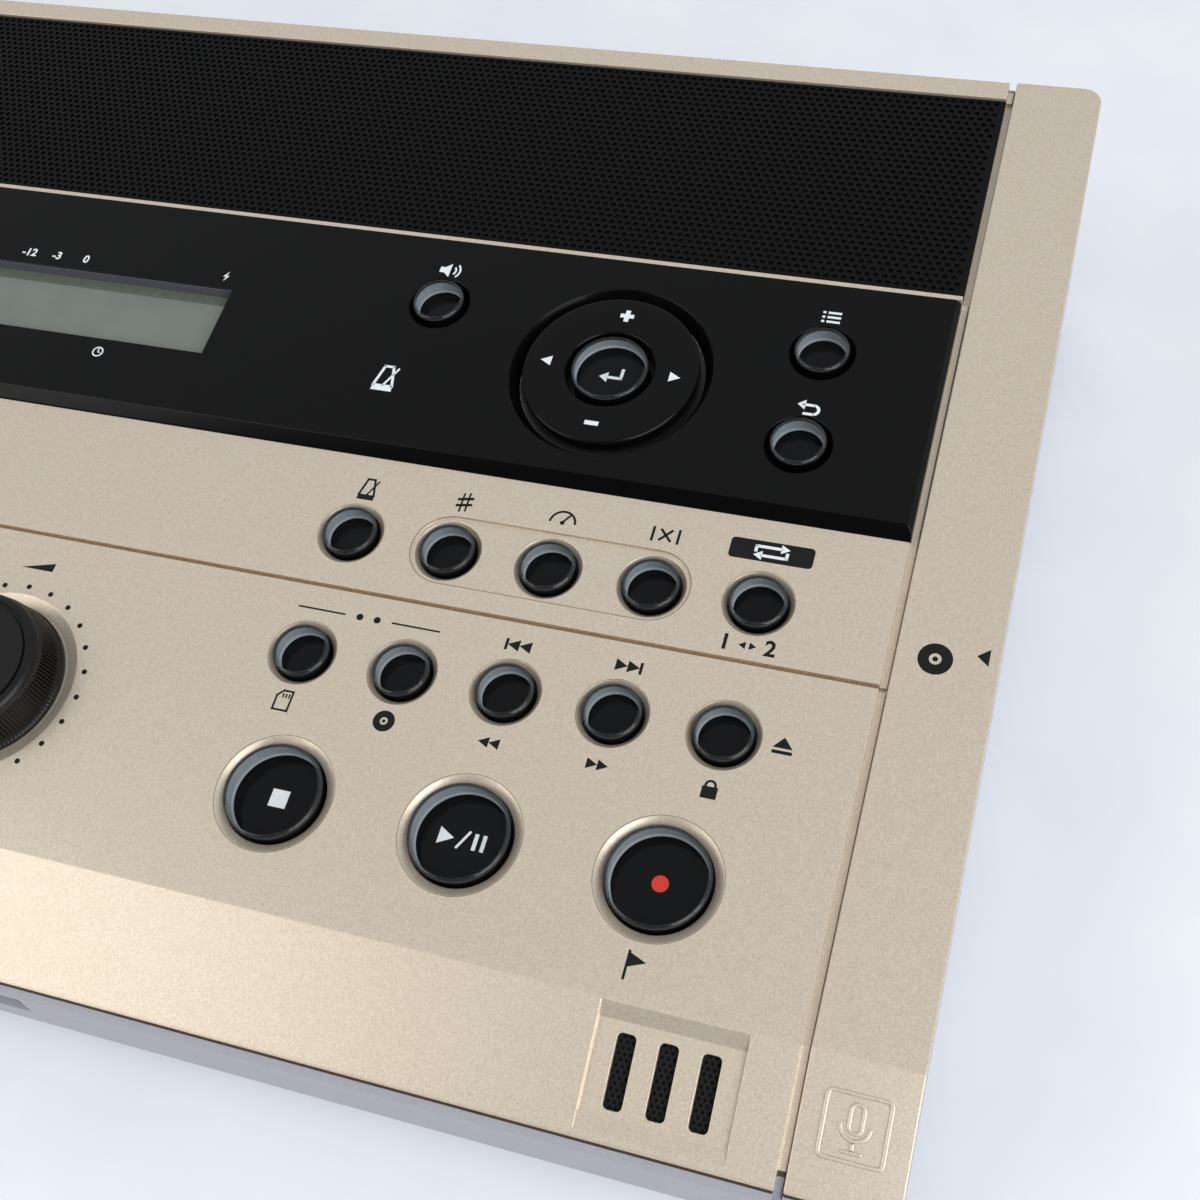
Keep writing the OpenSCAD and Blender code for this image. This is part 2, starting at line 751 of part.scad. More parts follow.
// Button with a flange under the cover and a stem over its switch
module key_body(key, r) {
    top = key[3] + key_rise;
    on_panel() translate([key[1], -key[2], 0]) {
        rotate_extrude() polygon([
            [0, flange_n0], [r + key_flange, flange_n0], [r + key_flange, flange_n1], [r, flange_n1],
            [r, top - key_edge], [r - key_edge_mid, top - key_edge_mid], [r - key_edge, top], [0, top]
        ]);
        translate([0, 0, stem_n]) cylinder(h = flange_n0 - stem_n + EPS, r = stem_r);
    }
}
module dish_with_bush(x, dish_r, base_r) {
    translate([x, -knob_v, 0]) {
        translate([0, 0, -dish_d]) cylinder(h = dish_d + EPS, r1 = base_r + key_fit, r2 = dish_r);
        translate([0, 0, -FAR]) cylinder(h = FAR, r = bush_r + key_fit);
    }
}
module board_boss(place) {
    translate([place[0], -place[1], -board_n]) difference() {
        cylinder(h = board_n - wall + EPS, r = boss_r);
        translate([0, 0, -EPS]) cylinder(h = board_n - wall - pilot_floor, r = pilot_r);
    }
}
module rounded_slot(w, l, r, h) {
    linear_extrude(h) {
        square([w - 2 * r, l], center = true);
        square([w, l - 2 * r], center = true);
        for (x = [-1, 1], y = [-1, 1]) translate([x * (w / 2 - r), y * (l / 2 - r)]) circle(r);
    }
}

// Shells

module bottom_case() {
    posts = concat(rear_posts, front_posts);
    color("#3a3733") {
        difference() {
            union() {
                difference() {
                    base_form(0, foot_h, split_z);
                    base_form(wall, base_in_z, split_z + OVER);
                }
                for (place = posts) at_post(place) translate([0, 0, base_in_z - EPS])
                    cylinder(h = post_h + EPS, r = post_r);
            }
            for (x = [-1, 1], y = foot_y)
                translate([x * (half_w - foot_in), y, foot_h - EPS]) cylinder(h = foot_seat + EPS, r = foot_r);
            for (place = posts) at_post(place) {
                cylinder(h = FAR, r = screw_r + screw_fit);
                cylinder(h = foot_h + screw_head_h, r = screw_head_r + screw_fit);
            }
        }
        for (x = drive_post_xs, y = [-1, 1])
            translate([x, slot_y + y * (drive_d / 2 - drive_post_in), base_in_z - EPS])
                cylinder(h = drive_z0 - base_in_z + EPS, r = post_r);
        for (x = board_post_xs, y = board_post_ys)
            translate([x, y, base_in_z - EPS]) cylinder(h = main_z - board_t - base_in_z + EPS, r = boss_r);
    }
}
// Base between two heights, moved inwards by d: undercut front, bevelled rear and sides
module base_form(d, z0, z1) {
    intersection() {
        prism_x(-half_w + d, half_w - d) polygon([
            [nose_y + d, z1], [nose_y + d, split_z - EPS], [nose_y + undercut + d, z0],
            [rear_y - base_bevel - d, z0], [rear_y - d, foot_h + base_bevel + d], [rear_y - d, z1]
        ]);
        translate([0, FAR, 0]) rotate([90, 0, 0]) linear_extrude(2 * FAR) polygon([
            [-half_w + base_bevel + d, z0], [half_w - base_bevel - d, z0],
            [half_w - d, foot_h + base_bevel + d], [half_w - d, z1], [-half_w + d, z1],
            [-half_w + d, foot_h + base_bevel + d]
        ]);
        linear_extrude(FAR) case_plan(d);
    }
}
// Moves children onto the vertical axis of a case post
module at_post(place) {
    translate([place[0], panel_pt(place[1], -wall)[0], 0]) children();
}
// Cover's boss that stands on a case post and takes its screw
module cover_boss(place) {
    below_covers(-EPS) at_post(place) translate([0, 0, post_top]) difference() {
        cylinder(h = rear_h, r = post_r - screw_fit);
        translate([0, 0, -EPS]) cylinder(h = screw_l - post_h, r = screw_r);
    }
}

module upper_cover() {
    color("#cdbda8") {
        on_panel() difference() {
            union() {
                panel_box(-cover_x, cover_x, wall * tan(panel_tilt), upper_v1, -wall, 0);
                both_sides() {
                    panel_box(cover_x - EPS, flange_x, wall, grille_v0, -wall, -groove_d);
                    panel_box(cover_x - EPS, flange_x, grille_v1, upper_v1, -wall, -groove_d);
                }
                panel_box(-ledge_x + trim_fit, ledge_x - trim_fit, baffle_v0, baffle_v1, baffle_n, -wall + EPS);
                panel_box(-ledge_x + trim_fit, ledge_x - trim_fit, upper_v1 - tongue_w, front_v0 + tongue_w,
                    -wall - tongue_t, -wall);
            }
            panel_box(-FAR, FAR, grille_v0, grille_v1, -grille_d, FAR);
            panel_box(-FAR, FAR, disp_v0, disp_v1, -disp_seat, FAR);
            for (side = [-1, 1]) translate([side * speaker_x, -speaker_v, 0])
                cylinder(h = FAR, r = speaker_open_r, center = true);
            panel_box(window_x0 - module_rim, window_x1 + module_rim, window_v0 - module_rim,
                window_v1 + module_rim, -FAR, FAR);
            for (key = small_keys) if (key[2] == row1_v) key_cut(key, key_dish_r, key_hole_r);
            for (key = display_keys) translate([key[1], -key[2], 0])
                cylinder(h = FAR, r = key_hole_r + key_fit, center = true);
            translate([pad_x, -pad_v, 0]) cylinder(h = FAR, r = pad_hole_low_r, center = true);
            panel_box(key_x(1), key_x(3), row1_v - recess_r, row1_v + recess_r, -recess_d, FAR);
            for (column = [1, 3]) translate([key_x(column), -row1_v, -recess_d])
                cylinder(h = FAR, r = recess_r);
        }
        on_panel() for (place = upper_bosses) board_boss(place);
        for (place = rear_posts) cover_boss(place);
    }
}

module front_cover() {
    recess_back = nose_y + wall + card_d;
    color("#d2c2ad") {
        difference() {
            union() {
                prism_x(-cover_x, cover_x) polygon(front_skin(front_v0, 0, wall));
                both_sides() prism_x(cover_x - EPS, flange_x)
                    polygon(front_skin(front_v0 + EPS, groove_d, wall));
                translate([card_x, 0, card_z]) box(-card_w / 2 - card_wall, card_w / 2 + card_wall,
                    nose_y + wall - EPS, recess_back + card_wall, -card_h / 2 - card_wall, card_h / 2 + card_wall);
            }
            on_panel() {
                for (key = small_keys) if (key[2] == row2_v) key_cut(key, key_dish_r, key_hole_r);
                for (key = large_keys) key_cut(key, big_dish_r, big_hole_r);
                dish_with_bush(volume_x, volume_dish_r, volume_r);
                dish_with_bush(level_x, level_dish_r, level_r);
            }
            both_sides() on_nose() translate([mic_x, 0, 0]) mic_cut();
            translate([card_x, 0, card_z])
                box(-card_w / 2, card_w / 2, nose_y - OVER, recess_back, -card_h / 2, card_h / 2);
            card_mouth(nose_y, recess_back + card_wall + OVER);
            translate([phones_x, 0, phones_z]) round_along_y(nose_y - OVER, nose_y + wall + OVER, jack_bush_r);
        }
        on_panel() for (place = front_bosses) board_boss(place);
        for (place = front_posts) cover_boss(place);
    }
}
// Slit through which a memory card passes
module card_mouth(y0, y1) {
    translate([card_x, 0, card_z])
        box(-card_slit_w / 2, card_slit_w / 2, y0, y1, -card_slit_h / 2, card_slit_h / 2);
}
// Scooped recess with three slots
module mic_cut() {
    prism_x(-mic_w / 2, mic_w / 2) polygon([
        [-mic_s0, EPS], [-mic_s1, -mic_d], [-mic_s2, -mic_d], [-mic_s3, EPS]
    ]);
    for (i = [-1:1]) translate([i * mic_pitch, -mic_slot_s, -wall - OVER])
        rounded_slot(mic_slot_w, mic_slot_l, mic_slot_r, wall + OVER);
}

// End cap's block, moved inwards by d: rounded in plan, cut to the panel and nose from above
module end_cap_form(x0, d, bottom) {
    r = corner_r - d;
    half_l = depth / 2 - d;
    difference() {
        translate([0, 0, bottom]) linear_extrude(rear_h + OVER - bottom) {
            translate([x0, -half_l]) square([half_w - d - r - x0, 2 * half_l]);
            translate([x0, -half_l + r]) square([half_w - d - x0, 2 * (half_l - r)]);
            for (y = [-1, 1]) translate([half_w - d - r, y * (half_l - r)]) circle(r);
        }
        prism_x(0, FAR) polygon(above_outline(d));
    }
}
module end_cap_shell() {
    difference() {
        end_cap_form(cap_x, 0, split_z);
        end_cap_form(cap_x - OVER, wall, split_z - OVER);
    }
    prism_x(cap_x, cap_x + wall) polygon(front_skin(wall / 2, wall / 2, wall + ledge_t));
    prism_x(ledge_x, cap_x + EPS) polygon(front_skin(2 * wall, wall, wall + ledge_t));
}
module right_end_cap() {
    color("#cfbfaa") difference() {
        end_cap_shell();
        box(drive_x1, FAR, slot_y - slot_w / 2, slot_y + slot_w / 2, disc_low_z, disc_low_z + slot_h);
    }
}
module left_end_cap() {
    color("#cfbfaa") mirror([1, 0, 0]) end_cap_shell();
}

module rear_panel() {
    color("#2b2a29") difference() {
        union() {
            below_covers(0) box(-cap_x + trim_fit, cap_x - trim_fit, rear_in_y, rear_y, split_z, rear_h);
            box(bay_x0 - bay_wall, bay_x1 + bay_wall, rear_y - bay_d - bay_wall, rear_in_y + EPS,
                socket_z - bay_h / 2 - bay_wall, socket_z + bay_h / 2 + bay_wall);
        }
        box(bay_x0, bay_x1, rear_y - bay_d, rear_y + OVER, socket_z - bay_h / 2, socket_z + bay_h / 2);
        for (x = line_xs) translate([x, 0, socket_z]) round_along_y(0, rear_y, line_stem_r + socket_fit);
        for (x = mic_jack_xs) translate([x, 0, socket_z])
            round_along_y(rear_in_y - OVER, rear_y + OVER, jack_bush_r);
        box(data_x - data_w / 2 - socket_fit, data_x + data_w / 2 + socket_fit, rear_in_y - OVER, rear_y + OVER,
            socket_z - jack_half - socket_fit, socket_z + jack_half + socket_fit);
        translate([supply_x, 0, socket_z])
            round_along_y(rear_in_y - OVER, rear_y + OVER, supply_bush_r + socket_fit);
        box(power_x - power_w / 2 - key_fit, power_x + power_w / 2 + key_fit, rear_in_y - OVER, rear_y + OVER,
            socket_z - power_h / 2 - key_fit, socket_z + power_h / 2 + key_fit);
    }
}

module rubber_feet() {
    color("#1d1d1d") for (x = [-1, 1], y = foot_y) translate([x * (half_w - foot_in), y, 0])
        rotate_extrude() polygon([
            [0, 0], [foot_r - foot_lip, 0], [foot_r - foot_lip + foot_round, foot_round], [foot_r - foot_fit, foot_h],
            [foot_r - foot_fit, foot_h + foot_seat], [0, foot_h + foot_seat]
        ]);
}

module case_screws() {
    color("#56565a") for (place = concat(rear_posts, front_posts)) at_post(place) {
        translate([0, 0, foot_h + screw_fit]) cylinder(h = screw_head_h - screw_fit, r = screw_head_r);
        translate([0, 0, foot_h + screw_fit]) cylinder(h = screw_l, r = screw_r - screw_fit / 4);
    }
}

// Grille, display and speakers

module speaker_grille() {
    rows = floor((grille_v1 - grille_v0 - 2 * grille_hole_r) / (grille_pitch * sin(60)));
    columns = floor(2 * (cover_x - grille_hole_r - 1) / grille_pitch) - 1;
    margin = (grille_v1 - grille_v0 - (rows - 1) * grille_pitch * sin(60)) / 2;
    color("#141416") on_panel() translate([0, 0, -grille_d]) linear_extrude(grille_t) difference() {
        translate([-cover_x, -grille_v1 + trim_fit])
            square([2 * cover_x, grille_v1 - grille_v0 - 2 * trim_fit]);
        for (row = [0:rows - 1], column = [0:columns - row % 2])
            translate([
                (column - (columns - row % 2) / 2) * grille_pitch,
                -grille_v0 - margin - row * grille_pitch * sin(60)
            ]) circle(grille_hole_r, $fn = 24);
    }
}

module display_panel() {
    color("#1a1a1c") on_panel() difference() {
        intersection() {
            prism_x(-cover_x, cover_x) polygon([
                [-disp_v0 - trim_fit, -disp_seat], [-disp_v1 + trim_fit, -disp_seat], [-disp_v1 + trim_fit, 0],
                [-disp_v1 + disp_bevel, disp_rise], [-disp_v0 - trim_fit, disp_rise]
            ]);
            rotate([90, 0, 0]) linear_extrude(FAR) polygon([
                [-cover_x, -disp_seat], [cover_x, -disp_seat], [cover_x, disp_rise - disp_end_bevel],
                [cover_x - disp_end_bevel, disp_rise], [-cover_x + disp_end_bevel, disp_rise],
                [-cover_x, disp_rise - disp_end_bevel]
            ]);
        }
        panel_box(window_x0, window_x1, window_v0, window_v1, -FAR, FAR);
        for (key = display_keys) key_cut(key, key_dish_r, key_hole_r);
        translate([pad_x, -pad_v, -disp_seat - EPS])
            cylinder(h = disp_seat + disp_rise + 2 * EPS, r1 = pad_hole_low_r, r2 = pad_well_r);
    }
}

module display_glass() {
    color("#8c9186") on_panel()
        panel_box(window_x0 - module_rim / 2, window_x1 + module_rim / 2, window_v0 - module_rim / 2,
            window_v1 + module_rim / 2, glass_n - glass_t, glass_n);
}

module display_module() {
    low = glass_n - glass_t - module_t;
    color("#6d7075") on_panel() difference() {
        panel_box(window_x0 - module_rim + key_fit, window_x1 + module_rim - key_fit,
            window_v0 - module_rim + key_fit, window_v1 + module_rim - key_fit, low, glass_n);
        panel_box(window_x0 - module_rim / 2, window_x1 + module_rim / 2, window_v0 - module_rim / 2,
            window_v1 + module_rim / 2, glass_n - glass_t, FAR);
    }
}

module speaker_unit() {
    on_panel() translate([speaker_x, -speaker_v, baffle_n]) rotate_extrude() polygon([
        [0, -cone_d + dust_rise], [dust_r, -cone_d], [speaker_open_r - surround_w, -speaker_edge],
        [speaker_open_r, 0],
        [speaker_r, 0], [speaker_r, -speaker_edge], [speaker_open_r, -speaker_edge - basket_drop],
        [magnet_r, -speaker_depth + magnet_h], [magnet_r, -speaker_depth], [0, -speaker_depth]
    ]);
}
module left_speaker() {
    color("#242426") mirror([1, 0, 0]) speaker_unit();
}
module right_speaker() {
    color("#242426") speaker_unit();
}

// Controls

module control_board() {
    color("#2f6b45") on_panel() difference() {
        panel_box(-board_x, board_x, board_v0, board_v1, -board_n - board_t, -board_n);
        for (place = concat(upper_bosses, front_bosses)) translate([place[0], -place[1], 0])
            cylinder(h = FAR, r = pilot_r, center = true);
    }
}

module tact_switch(x, v) {
    translate([x, -v, -board_n]) {
        translate([-tact_w / 2, -tact_w / 2, 0]) cube([tact_w, tact_w, tact_h]);
        cylinder(h = tact_h + tact_tip, r = tact_tip_r);
    }
}
module tact_switches() {
    color("#d8d4c8") on_panel() {
        for (key = all_keys) tact_switch(key[1], key[2]);
        tact_switch(pad_x, pad_v);
        for (side = [-1, 1]) {
            tact_switch(pad_x + side * pad_switch_r, pad_v);
            tact_switch(pad_x, pad_v + side * pad_switch_r);
        }
    }
}

// Guide tube of the enter button, which also carries the pad's gimbal
module pad_cradle() {
    color("#303033") on_panel() translate([pad_x, -pad_v, 0]) difference() {
        translate([0, 0, -board_n]) cylinder(h = tube_top + board_n, r = tube_r);
        translate([0, 0, -board_n - EPS]) cylinder(h = FAR, r = tube_in_r);
        translate([0, 0, pad_axis_n]) round_along_x(-ring_r, ring_r, pin_r + pin_fit);
    }
}
module pad_rocker() {
    color("#3a3a3e") on_panel() translate([pad_x, -pad_v, pad_axis_n]) {
        difference() {
            translate([0, 0, -ring_h / 2]) cylinder(h = ring_h, r = ring_r);
            translate([0, 0, -ring_h]) cylinder(h = 2 * ring_h, r = ring_in_r);
            round_along_y(-collar_r, collar_r, pin_r + pin_fit);
        }
        both_sides() round_along_x(tube_in_r + pin_in, ring_in_r + pin_bite, pin_r);
    }
}
module cursor_pad() {
    color("#17171a") on_panel() translate([pad_x, -pad_v, 0]) {
        rotate_extrude() polygon([
            [pad_hole_r, pad_under], [pad_r, pad_under], [pad_r, pad_top - key_edge],
            [pad_r - key_edge_mid, pad_top - key_edge_mid], [pad_r - key_edge, pad_top],
            [pad_hole_r + key_edge, pad_top], [pad_hole_r, pad_top - key_edge]
        ]);
        difference() {
            translate([0, 0, pad_axis_n - collar_drop])
                cylinder(h = pad_under - pad_axis_n + collar_drop + EPS, r = collar_r);
            cylinder(h = FAR, r = collar_in_r, center = true);
        }
        translate([0, 0, pad_axis_n]) for (side = [0, 180]) rotate([0, 0, side])
            round_along_y(ring_in_r + pin_in, collar_in_r + pin_bite, pin_r);
        for (turn = [0:90:270]) rotate([0, 0, turn]) translate([pad_switch_r, 0, stem_n])
            cylinder(h = pad_under - stem_n + EPS, r = pad_post_r);
    }
}
module enter_button() {
    top = pad_top + key_rise / 2;
    color("#17171a") on_panel() translate([pad_x, -pad_v, 0]) {
        rotate_extrude() polygon([
            [0, stem_n], [tube_in_r - key_fit, stem_n], [tube_in_r - key_fit, enter_under], [enter_r, enter_under],
            [enter_r, top - key_edge], [enter_r - key_edge_mid, top - key_edge_mid], [enter_r - key_edge, top],
            [0, top]
        ]);
    }
}

module knob(x, r) {
    shoulder_r = r - knob_taper;
    on_panel() translate([x, -knob_v, 0]) {
        rotate_extrude() polygon(concat(
            [[0, knob_foot], [r, knob_foot], [r, knob_foot + knob_foot_h]],
            [for (a = [0:18:90]) [
                shoulder_r - knob_shoulder * (1 - cos(a)), knob_h - knob_shoulder * (1 - sin(a))
            ]],
            [[0, knob_h]]
        ));
        translate([0, 0, shaft_n]) cylinder(h = knob_foot - shaft_n + EPS, r = shaft_r);
    }
}
module volume_knob() {
    color("#151517") difference() {
        knob(volume_x, volume_r);
        on_panel() translate([volume_x, -knob_v, knob_foot + flute_up]) for (i = [0:knob_flutes - 1])
            rotate([0, 0, i * 360 / knob_flutes]) translate([volume_r - knob_taper / 2 + flute_out, 0, 0])
                cylinder(h = knob_h - knob_shoulder - knob_foot - flute_up, r = flute_r);
    }
}
module level_knob() {
    color("#151517") knob(level_x, level_r);
}
module control_pots() {
    color("#8b8b8f") on_panel() for (x = [volume_x, level_x]) translate([x, -knob_v, 0]) difference() {
        union() {
            translate([-pot_w / 2, -pot_w / 2, -board_n]) cube([pot_w, pot_w, board_n + pot_top_n]);
            translate([0, 0, -board_n]) cylinder(h = board_n - dish_d - key_fit, r = bush_r);
        }
        translate([0, 0, shaft_n - key_fit]) cylinder(h = FAR, r = shaft_r + shaft_fit);
    }
}

// Microphones

module mic_meshes() {
    color("#101011") both_sides() on_nose() translate([mic_x, 0, 0])
        translate([-mic_w / 2 + mesh_in, -mic_s2 - mesh_over, -wall - mesh_t])
            cube([mic_w - 2 * mesh_in, mic_s2 - mic_s1 + mesh_in + mesh_over, mesh_t]);
}
module mic_capsules() {
    color("#9a9a9c") both_sides() on_nose()
        translate([mic_x, -mic_slot_s, -wall - mesh_t - capsule_h]) cylinder(h = capsule_h, r = capsule_r);
}

// Disc drive

module in_drive() {
    translate([spindle_x, slot_y, 0]) children();
}
module drive_chassis() {
    left = drive_x0 - spindle_x;
    right = drive_x1 - spindle_x;
    half_d = drive_d / 2;
    color("#a9abae") in_drive() difference() {
        union() {
            difference() {
                box(left, right, -half_d, half_d, drive_z0, drive_z1);
                box(left + sheet, right - sheet, -half_d + sheet, half_d - sheet, floor_z, drive_z1 + OVER);
            }
            for (y = [-rod_span / 2, rod_span / 2]) box(bearing_x - spindle_x, bearing_x - spindle_x + bearing_w,
                y - bearing_half, y + bearing_half, floor_z - EPS, rod_z + bearing_half);
            for (y = [-1, 1]) translate([roller_x - spindle_x, y * (roller_l / 2 + tab_out), 0])
                box(-tab_half, tab_half, -tab_t / 2, tab_t / 2, floor_z - EPS, roller_z + tab_up);
        }
        box(right - 2 * sheet, right + OVER, -slot_w / 2, slot_w / 2, disc_low_z, disc_low_z + slot_h);
        translate([roller_x - spindle_x, 0, roller_z])
            round_along_y(-half_d + 2 * sheet, half_d - 2 * sheet, roller_shaft_r + drive_fit);
    }
}
module drive_cover() {
    color("#b7b9bc")
        box(drive_x0, drive_x1, slot_y - drive_d / 2, slot_y + drive_d / 2, drive_z1, drive_z1 + sheet);
}
module drive_motors() {
    color("#7c7e82") in_drive() {
        difference() {
            translate([0, 0, floor_z]) cylinder(h = motor_z - floor_z, r = motor_r);
            translate([0, 0, floor_z + sheet]) cylinder(h = FAR, r = spindle_r + drive_fit);
        }
        translate([0, screw_y, rod_z]) {
            round_along_x(0, feed_l, feed_r);
            box(feed_foot_in, feed_l - feed_foot_in, -feed_r / 2, feed_r / 2, floor_z - rod_z, 0);
        }
    }
}
module guide_rods() {
    color("#c9cbce") in_drive() for (y = [-rod_span / 2, rod_span / 2]) translate([0, y, rod_z])
        round_along_x(drive_x0 - spindle_x + sheet, bearing_x - spindle_x, rod_r);
}
module slot_lips() {
    color("#1b1b1c") for (z = [disc_low_z - lip_t - lip_gap, disc_low_z + slot_h + lip_gap])
        box(drive_x1 + key_fit, half_w - wall, slot_y - slot_w / 2, slot_y + slot_w / 2, z, z + lip_t);
}
module turntable() {
    color("#2a2a2d") in_drive() {
        translate([0, 0, turntable_z]) rotate_extrude() polygon([
            [0, 0], [turntable_r, 0], [turntable_r, platter_t], [hub_r + hub_root, platter_t],
            [hub_r, hub_z - turntable_z - hub_lip], [hub_r - hub_cone, hub_z - turntable_z], [0, hub_z - turntable_z]
        ]);
        translate([0, 0, floor_z + sheet + key_fit])
            cylinder(h = turntable_z - floor_z - sheet - key_fit + EPS, r = spindle_r);
    }
}
module pickup_sled() {
    rod_pos = rod_span / 2;
    color("#26282c") in_drive() difference() {
        translate([-sled_in, 0, rod_z]) {
            box(-sled_l / 2, sled_l / 2, -rod_pos - sled_rim, rod_pos + sled_rim, -sled_drop, sled_h - sled_drop);
            box(-sled_l / 4, sled_l / 4, rod_pos, screw_y + sled_rim, -sled_drop, sled_drop);
            translate([lens_x, 0, sled_h - sled_drop - EPS])
                cylinder(h = lens_h, r1 = lens_r, r2 = lens_r - lens_taper);
        }
        for (y = [-rod_pos, rod_pos, screw_y]) translate([0, y, rod_z])
            round_along_x(-FAR, 0, rod_r + drive_fit);
    }
}
module lead_screw() {
    color("#b9bbbf") in_drive() translate([0, screw_y, rod_z])
        round_along_x(drive_x0 - spindle_x + sheet + screw_fit, -screw_fit, rod_r);
}
module loading_roller() {
    color("#3b3a38") translate([roller_x, slot_y, roller_z]) {
        round_along_y(-roller_l / 2, roller_l / 2, roller_r);
        round_along_y(-roller_l / 2 - roller_shaft_out, roller_l / 2 + roller_shaft_out, roller_shaft_r);
    }
}

// Boards and sockets

module main_board() {
    color("#2f6b45") difference() {
        box(main_x0, main_x1, main_y0, rear_in_y - board_gap, main_z - board_t, main_z);
        for (place = rear_posts) at_post(place) cylinder(h = FAR, r = post_r + key_fit);
        box(bay_x0 - bay_wall - key_fit, bay_x1 + bay_wall + key_fit, rear_y - bay_d - bay_wall - line_tail - key_fit,
            rear_y, 0, FAR);
    }
}
module card_socket() {
    y0 = nose_y + wall + card_d + card_wall;
    shell = 0.8;
    color("#9b9da1") difference() {
        translate([card_x, 0, card_z]) box(-card_slit_w / 2 - shell, card_slit_w / 2 + shell,
            y0, y0 + card_socket_l, -card_slit_h / 2 - shell, card_slit_h / 2 + shell);
        card_mouth(y0 - OVER, y0 + card_socket_l - 2 * shell);
    }
}
// Jack with its bushing flush at y = 0 and its body on the +Y side
module jack() {
    difference() {
        union() {
            round_along_y(0, wall + OVER, jack_bush_r - socket_fit);
            box(-jack_half, jack_half, wall, jack_depth + jack_back, -jack_half, jack_half);
        }
        round_along_y(-OVER, jack_depth, jack_r);
    }
}
module phones_jack() {
    color("#1c1c1e") translate([phones_x, nose_y, phones_z]) jack();
}
module mic_jacks() {
    color("#1c1c1e") for (x = mic_jack_xs) translate([x, rear_y, socket_z]) rotate([0, 0, 180]) jack();
}
module line_jacks() {
    color("#c7a24a") for (x = line_xs) translate([x, rear_y - bay_d, socket_z]) difference() {
        union() {
            round_along_y(0, line_l, line_r);
            round_along_y(-bay_wall - line_tail, EPS, line_stem_r);
        }
        round_along_y(line_floor, line_l + OVER, line_hole_r);
    }
}
module data_socket() {
    color("#b5b7ba") translate([data_x, rear_y, socket_z]) {
        difference() {
            box(-data_w / 2, data_w / 2, -data_l, 0, -jack_half, jack_half);
            box(-data_in_w / 2, data_in_w / 2, -data_mouth, OVER, -data_in_h / 2, data_in_h / 2);
        }
        box(-data_tongue_w / 2, data_tongue_w / 2, -data_mouth - EPS, -data_tongue_in,
            -data_tongue_h / 2, data_tongue_h / 2);
    }
}
module supply_jack() {
    color("#1c1c1e") translate([supply_x, rear_y, socket_z]) {
        difference() {
            union() {
                round_along_y(-wall - OVER, 0, supply_bush_r);
                box(-supply_half, supply_half, -supply_depth - supply_back, -wall, -jack_half, supply_half);
            }
            round_along_y(-supply_depth, OVER, supply_r);
        }
        round_along_y(-supply_depth - EPS, -OVER, supply_pin_r);
    }
}
module power_switch() {
    color("#1c1c1e") translate([power_x, rear_y, socket_z]) difference() {
        box(-power_w / 2 - power_wall, power_w / 2 + power_wall, -power_in - power_back, -wall,
            -jack_half, jack_half);
        box(-power_w / 2 - key_fit, power_w / 2 + key_fit, -power_in, OVER,
            -power_h / 2 - key_fit, power_h / 2 + key_fit);
    }
}
module power_button() {
    color("#232326") translate([power_x, rear_y, socket_z])
        box(-power_w / 2, power_w / 2, -power_in + power_travel + key_fit, -key_fit, -power_h / 2, power_h / 2);
}

bottom_case();
upper_cover();
front_cover();
right_end_cap();
left_end_cap();
rear_panel();
speaker_grille();
display_panel();
display_glass();
display_module();
left_speaker();
right_speaker();
control_board();
tact_switches();
main_board();
rubber_feet();
case_screws();
drive_chassis();
drive_cover();
drive_motors();
guide_rods();
slot_lips();
mic_meshes();
mic_capsules();
control_pots();
card_socket();
phones_jack();
mic_jacks();
line_jacks();
data_socket();
supply_jack();
power_switch();
pad_cradle();
turntable();
pickup_sled();
lead_screw();
loading_roller();
volume_knob();
level_knob();
power_button();
pad_rocker();
cursor_pad();
enter_button();
for (key = concat(small_keys, display_keys))
    color("#17171a") key_body(key, key_r);
for (key = large_keys)
    color("#17171a") key_body(key, big_r);
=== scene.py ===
import math

import bpy
from mathutils import Matrix, Vector

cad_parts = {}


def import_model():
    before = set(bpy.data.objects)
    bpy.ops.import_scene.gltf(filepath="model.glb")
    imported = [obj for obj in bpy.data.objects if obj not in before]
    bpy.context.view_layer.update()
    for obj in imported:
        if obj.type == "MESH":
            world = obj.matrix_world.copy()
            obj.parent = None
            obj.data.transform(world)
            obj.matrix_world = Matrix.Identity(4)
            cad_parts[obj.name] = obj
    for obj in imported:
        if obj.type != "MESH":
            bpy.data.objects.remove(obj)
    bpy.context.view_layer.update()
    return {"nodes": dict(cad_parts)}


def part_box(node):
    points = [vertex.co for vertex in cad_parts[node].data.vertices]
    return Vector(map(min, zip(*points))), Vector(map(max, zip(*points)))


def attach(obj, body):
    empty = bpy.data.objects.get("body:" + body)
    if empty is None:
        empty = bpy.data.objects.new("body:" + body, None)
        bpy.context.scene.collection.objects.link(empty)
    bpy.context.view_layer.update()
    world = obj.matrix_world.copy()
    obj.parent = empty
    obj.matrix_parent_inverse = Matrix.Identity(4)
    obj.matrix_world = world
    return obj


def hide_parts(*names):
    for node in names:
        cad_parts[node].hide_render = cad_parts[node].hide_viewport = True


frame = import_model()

# Case in millimetres: x from the middle, v from the panel's rear edge, n above the panel
MM = 0.001
REAR_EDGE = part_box("right_end_cap")[1]
PANEL_TILT = math.radians(6)
FLAT_LEN = 214
NOSE_LEN = 23.2
NOSE_DROP = 5.65
WALL = 2
COVER_X = 153.3
DISPLAY_FRONT = 119.6
FIELD = FLAT_LEN - DISPLAY_FRONT
SEAM_V = DISPLAY_FRONT + 0.32 * FIELD
SEAM_W = 0.8
SEAM_FILL = (-1.4, -0.55)
FRONT_SEAM_Z = 33
FRONT_SEAM_W = 0.3
PAINT_EDGE = 0.02

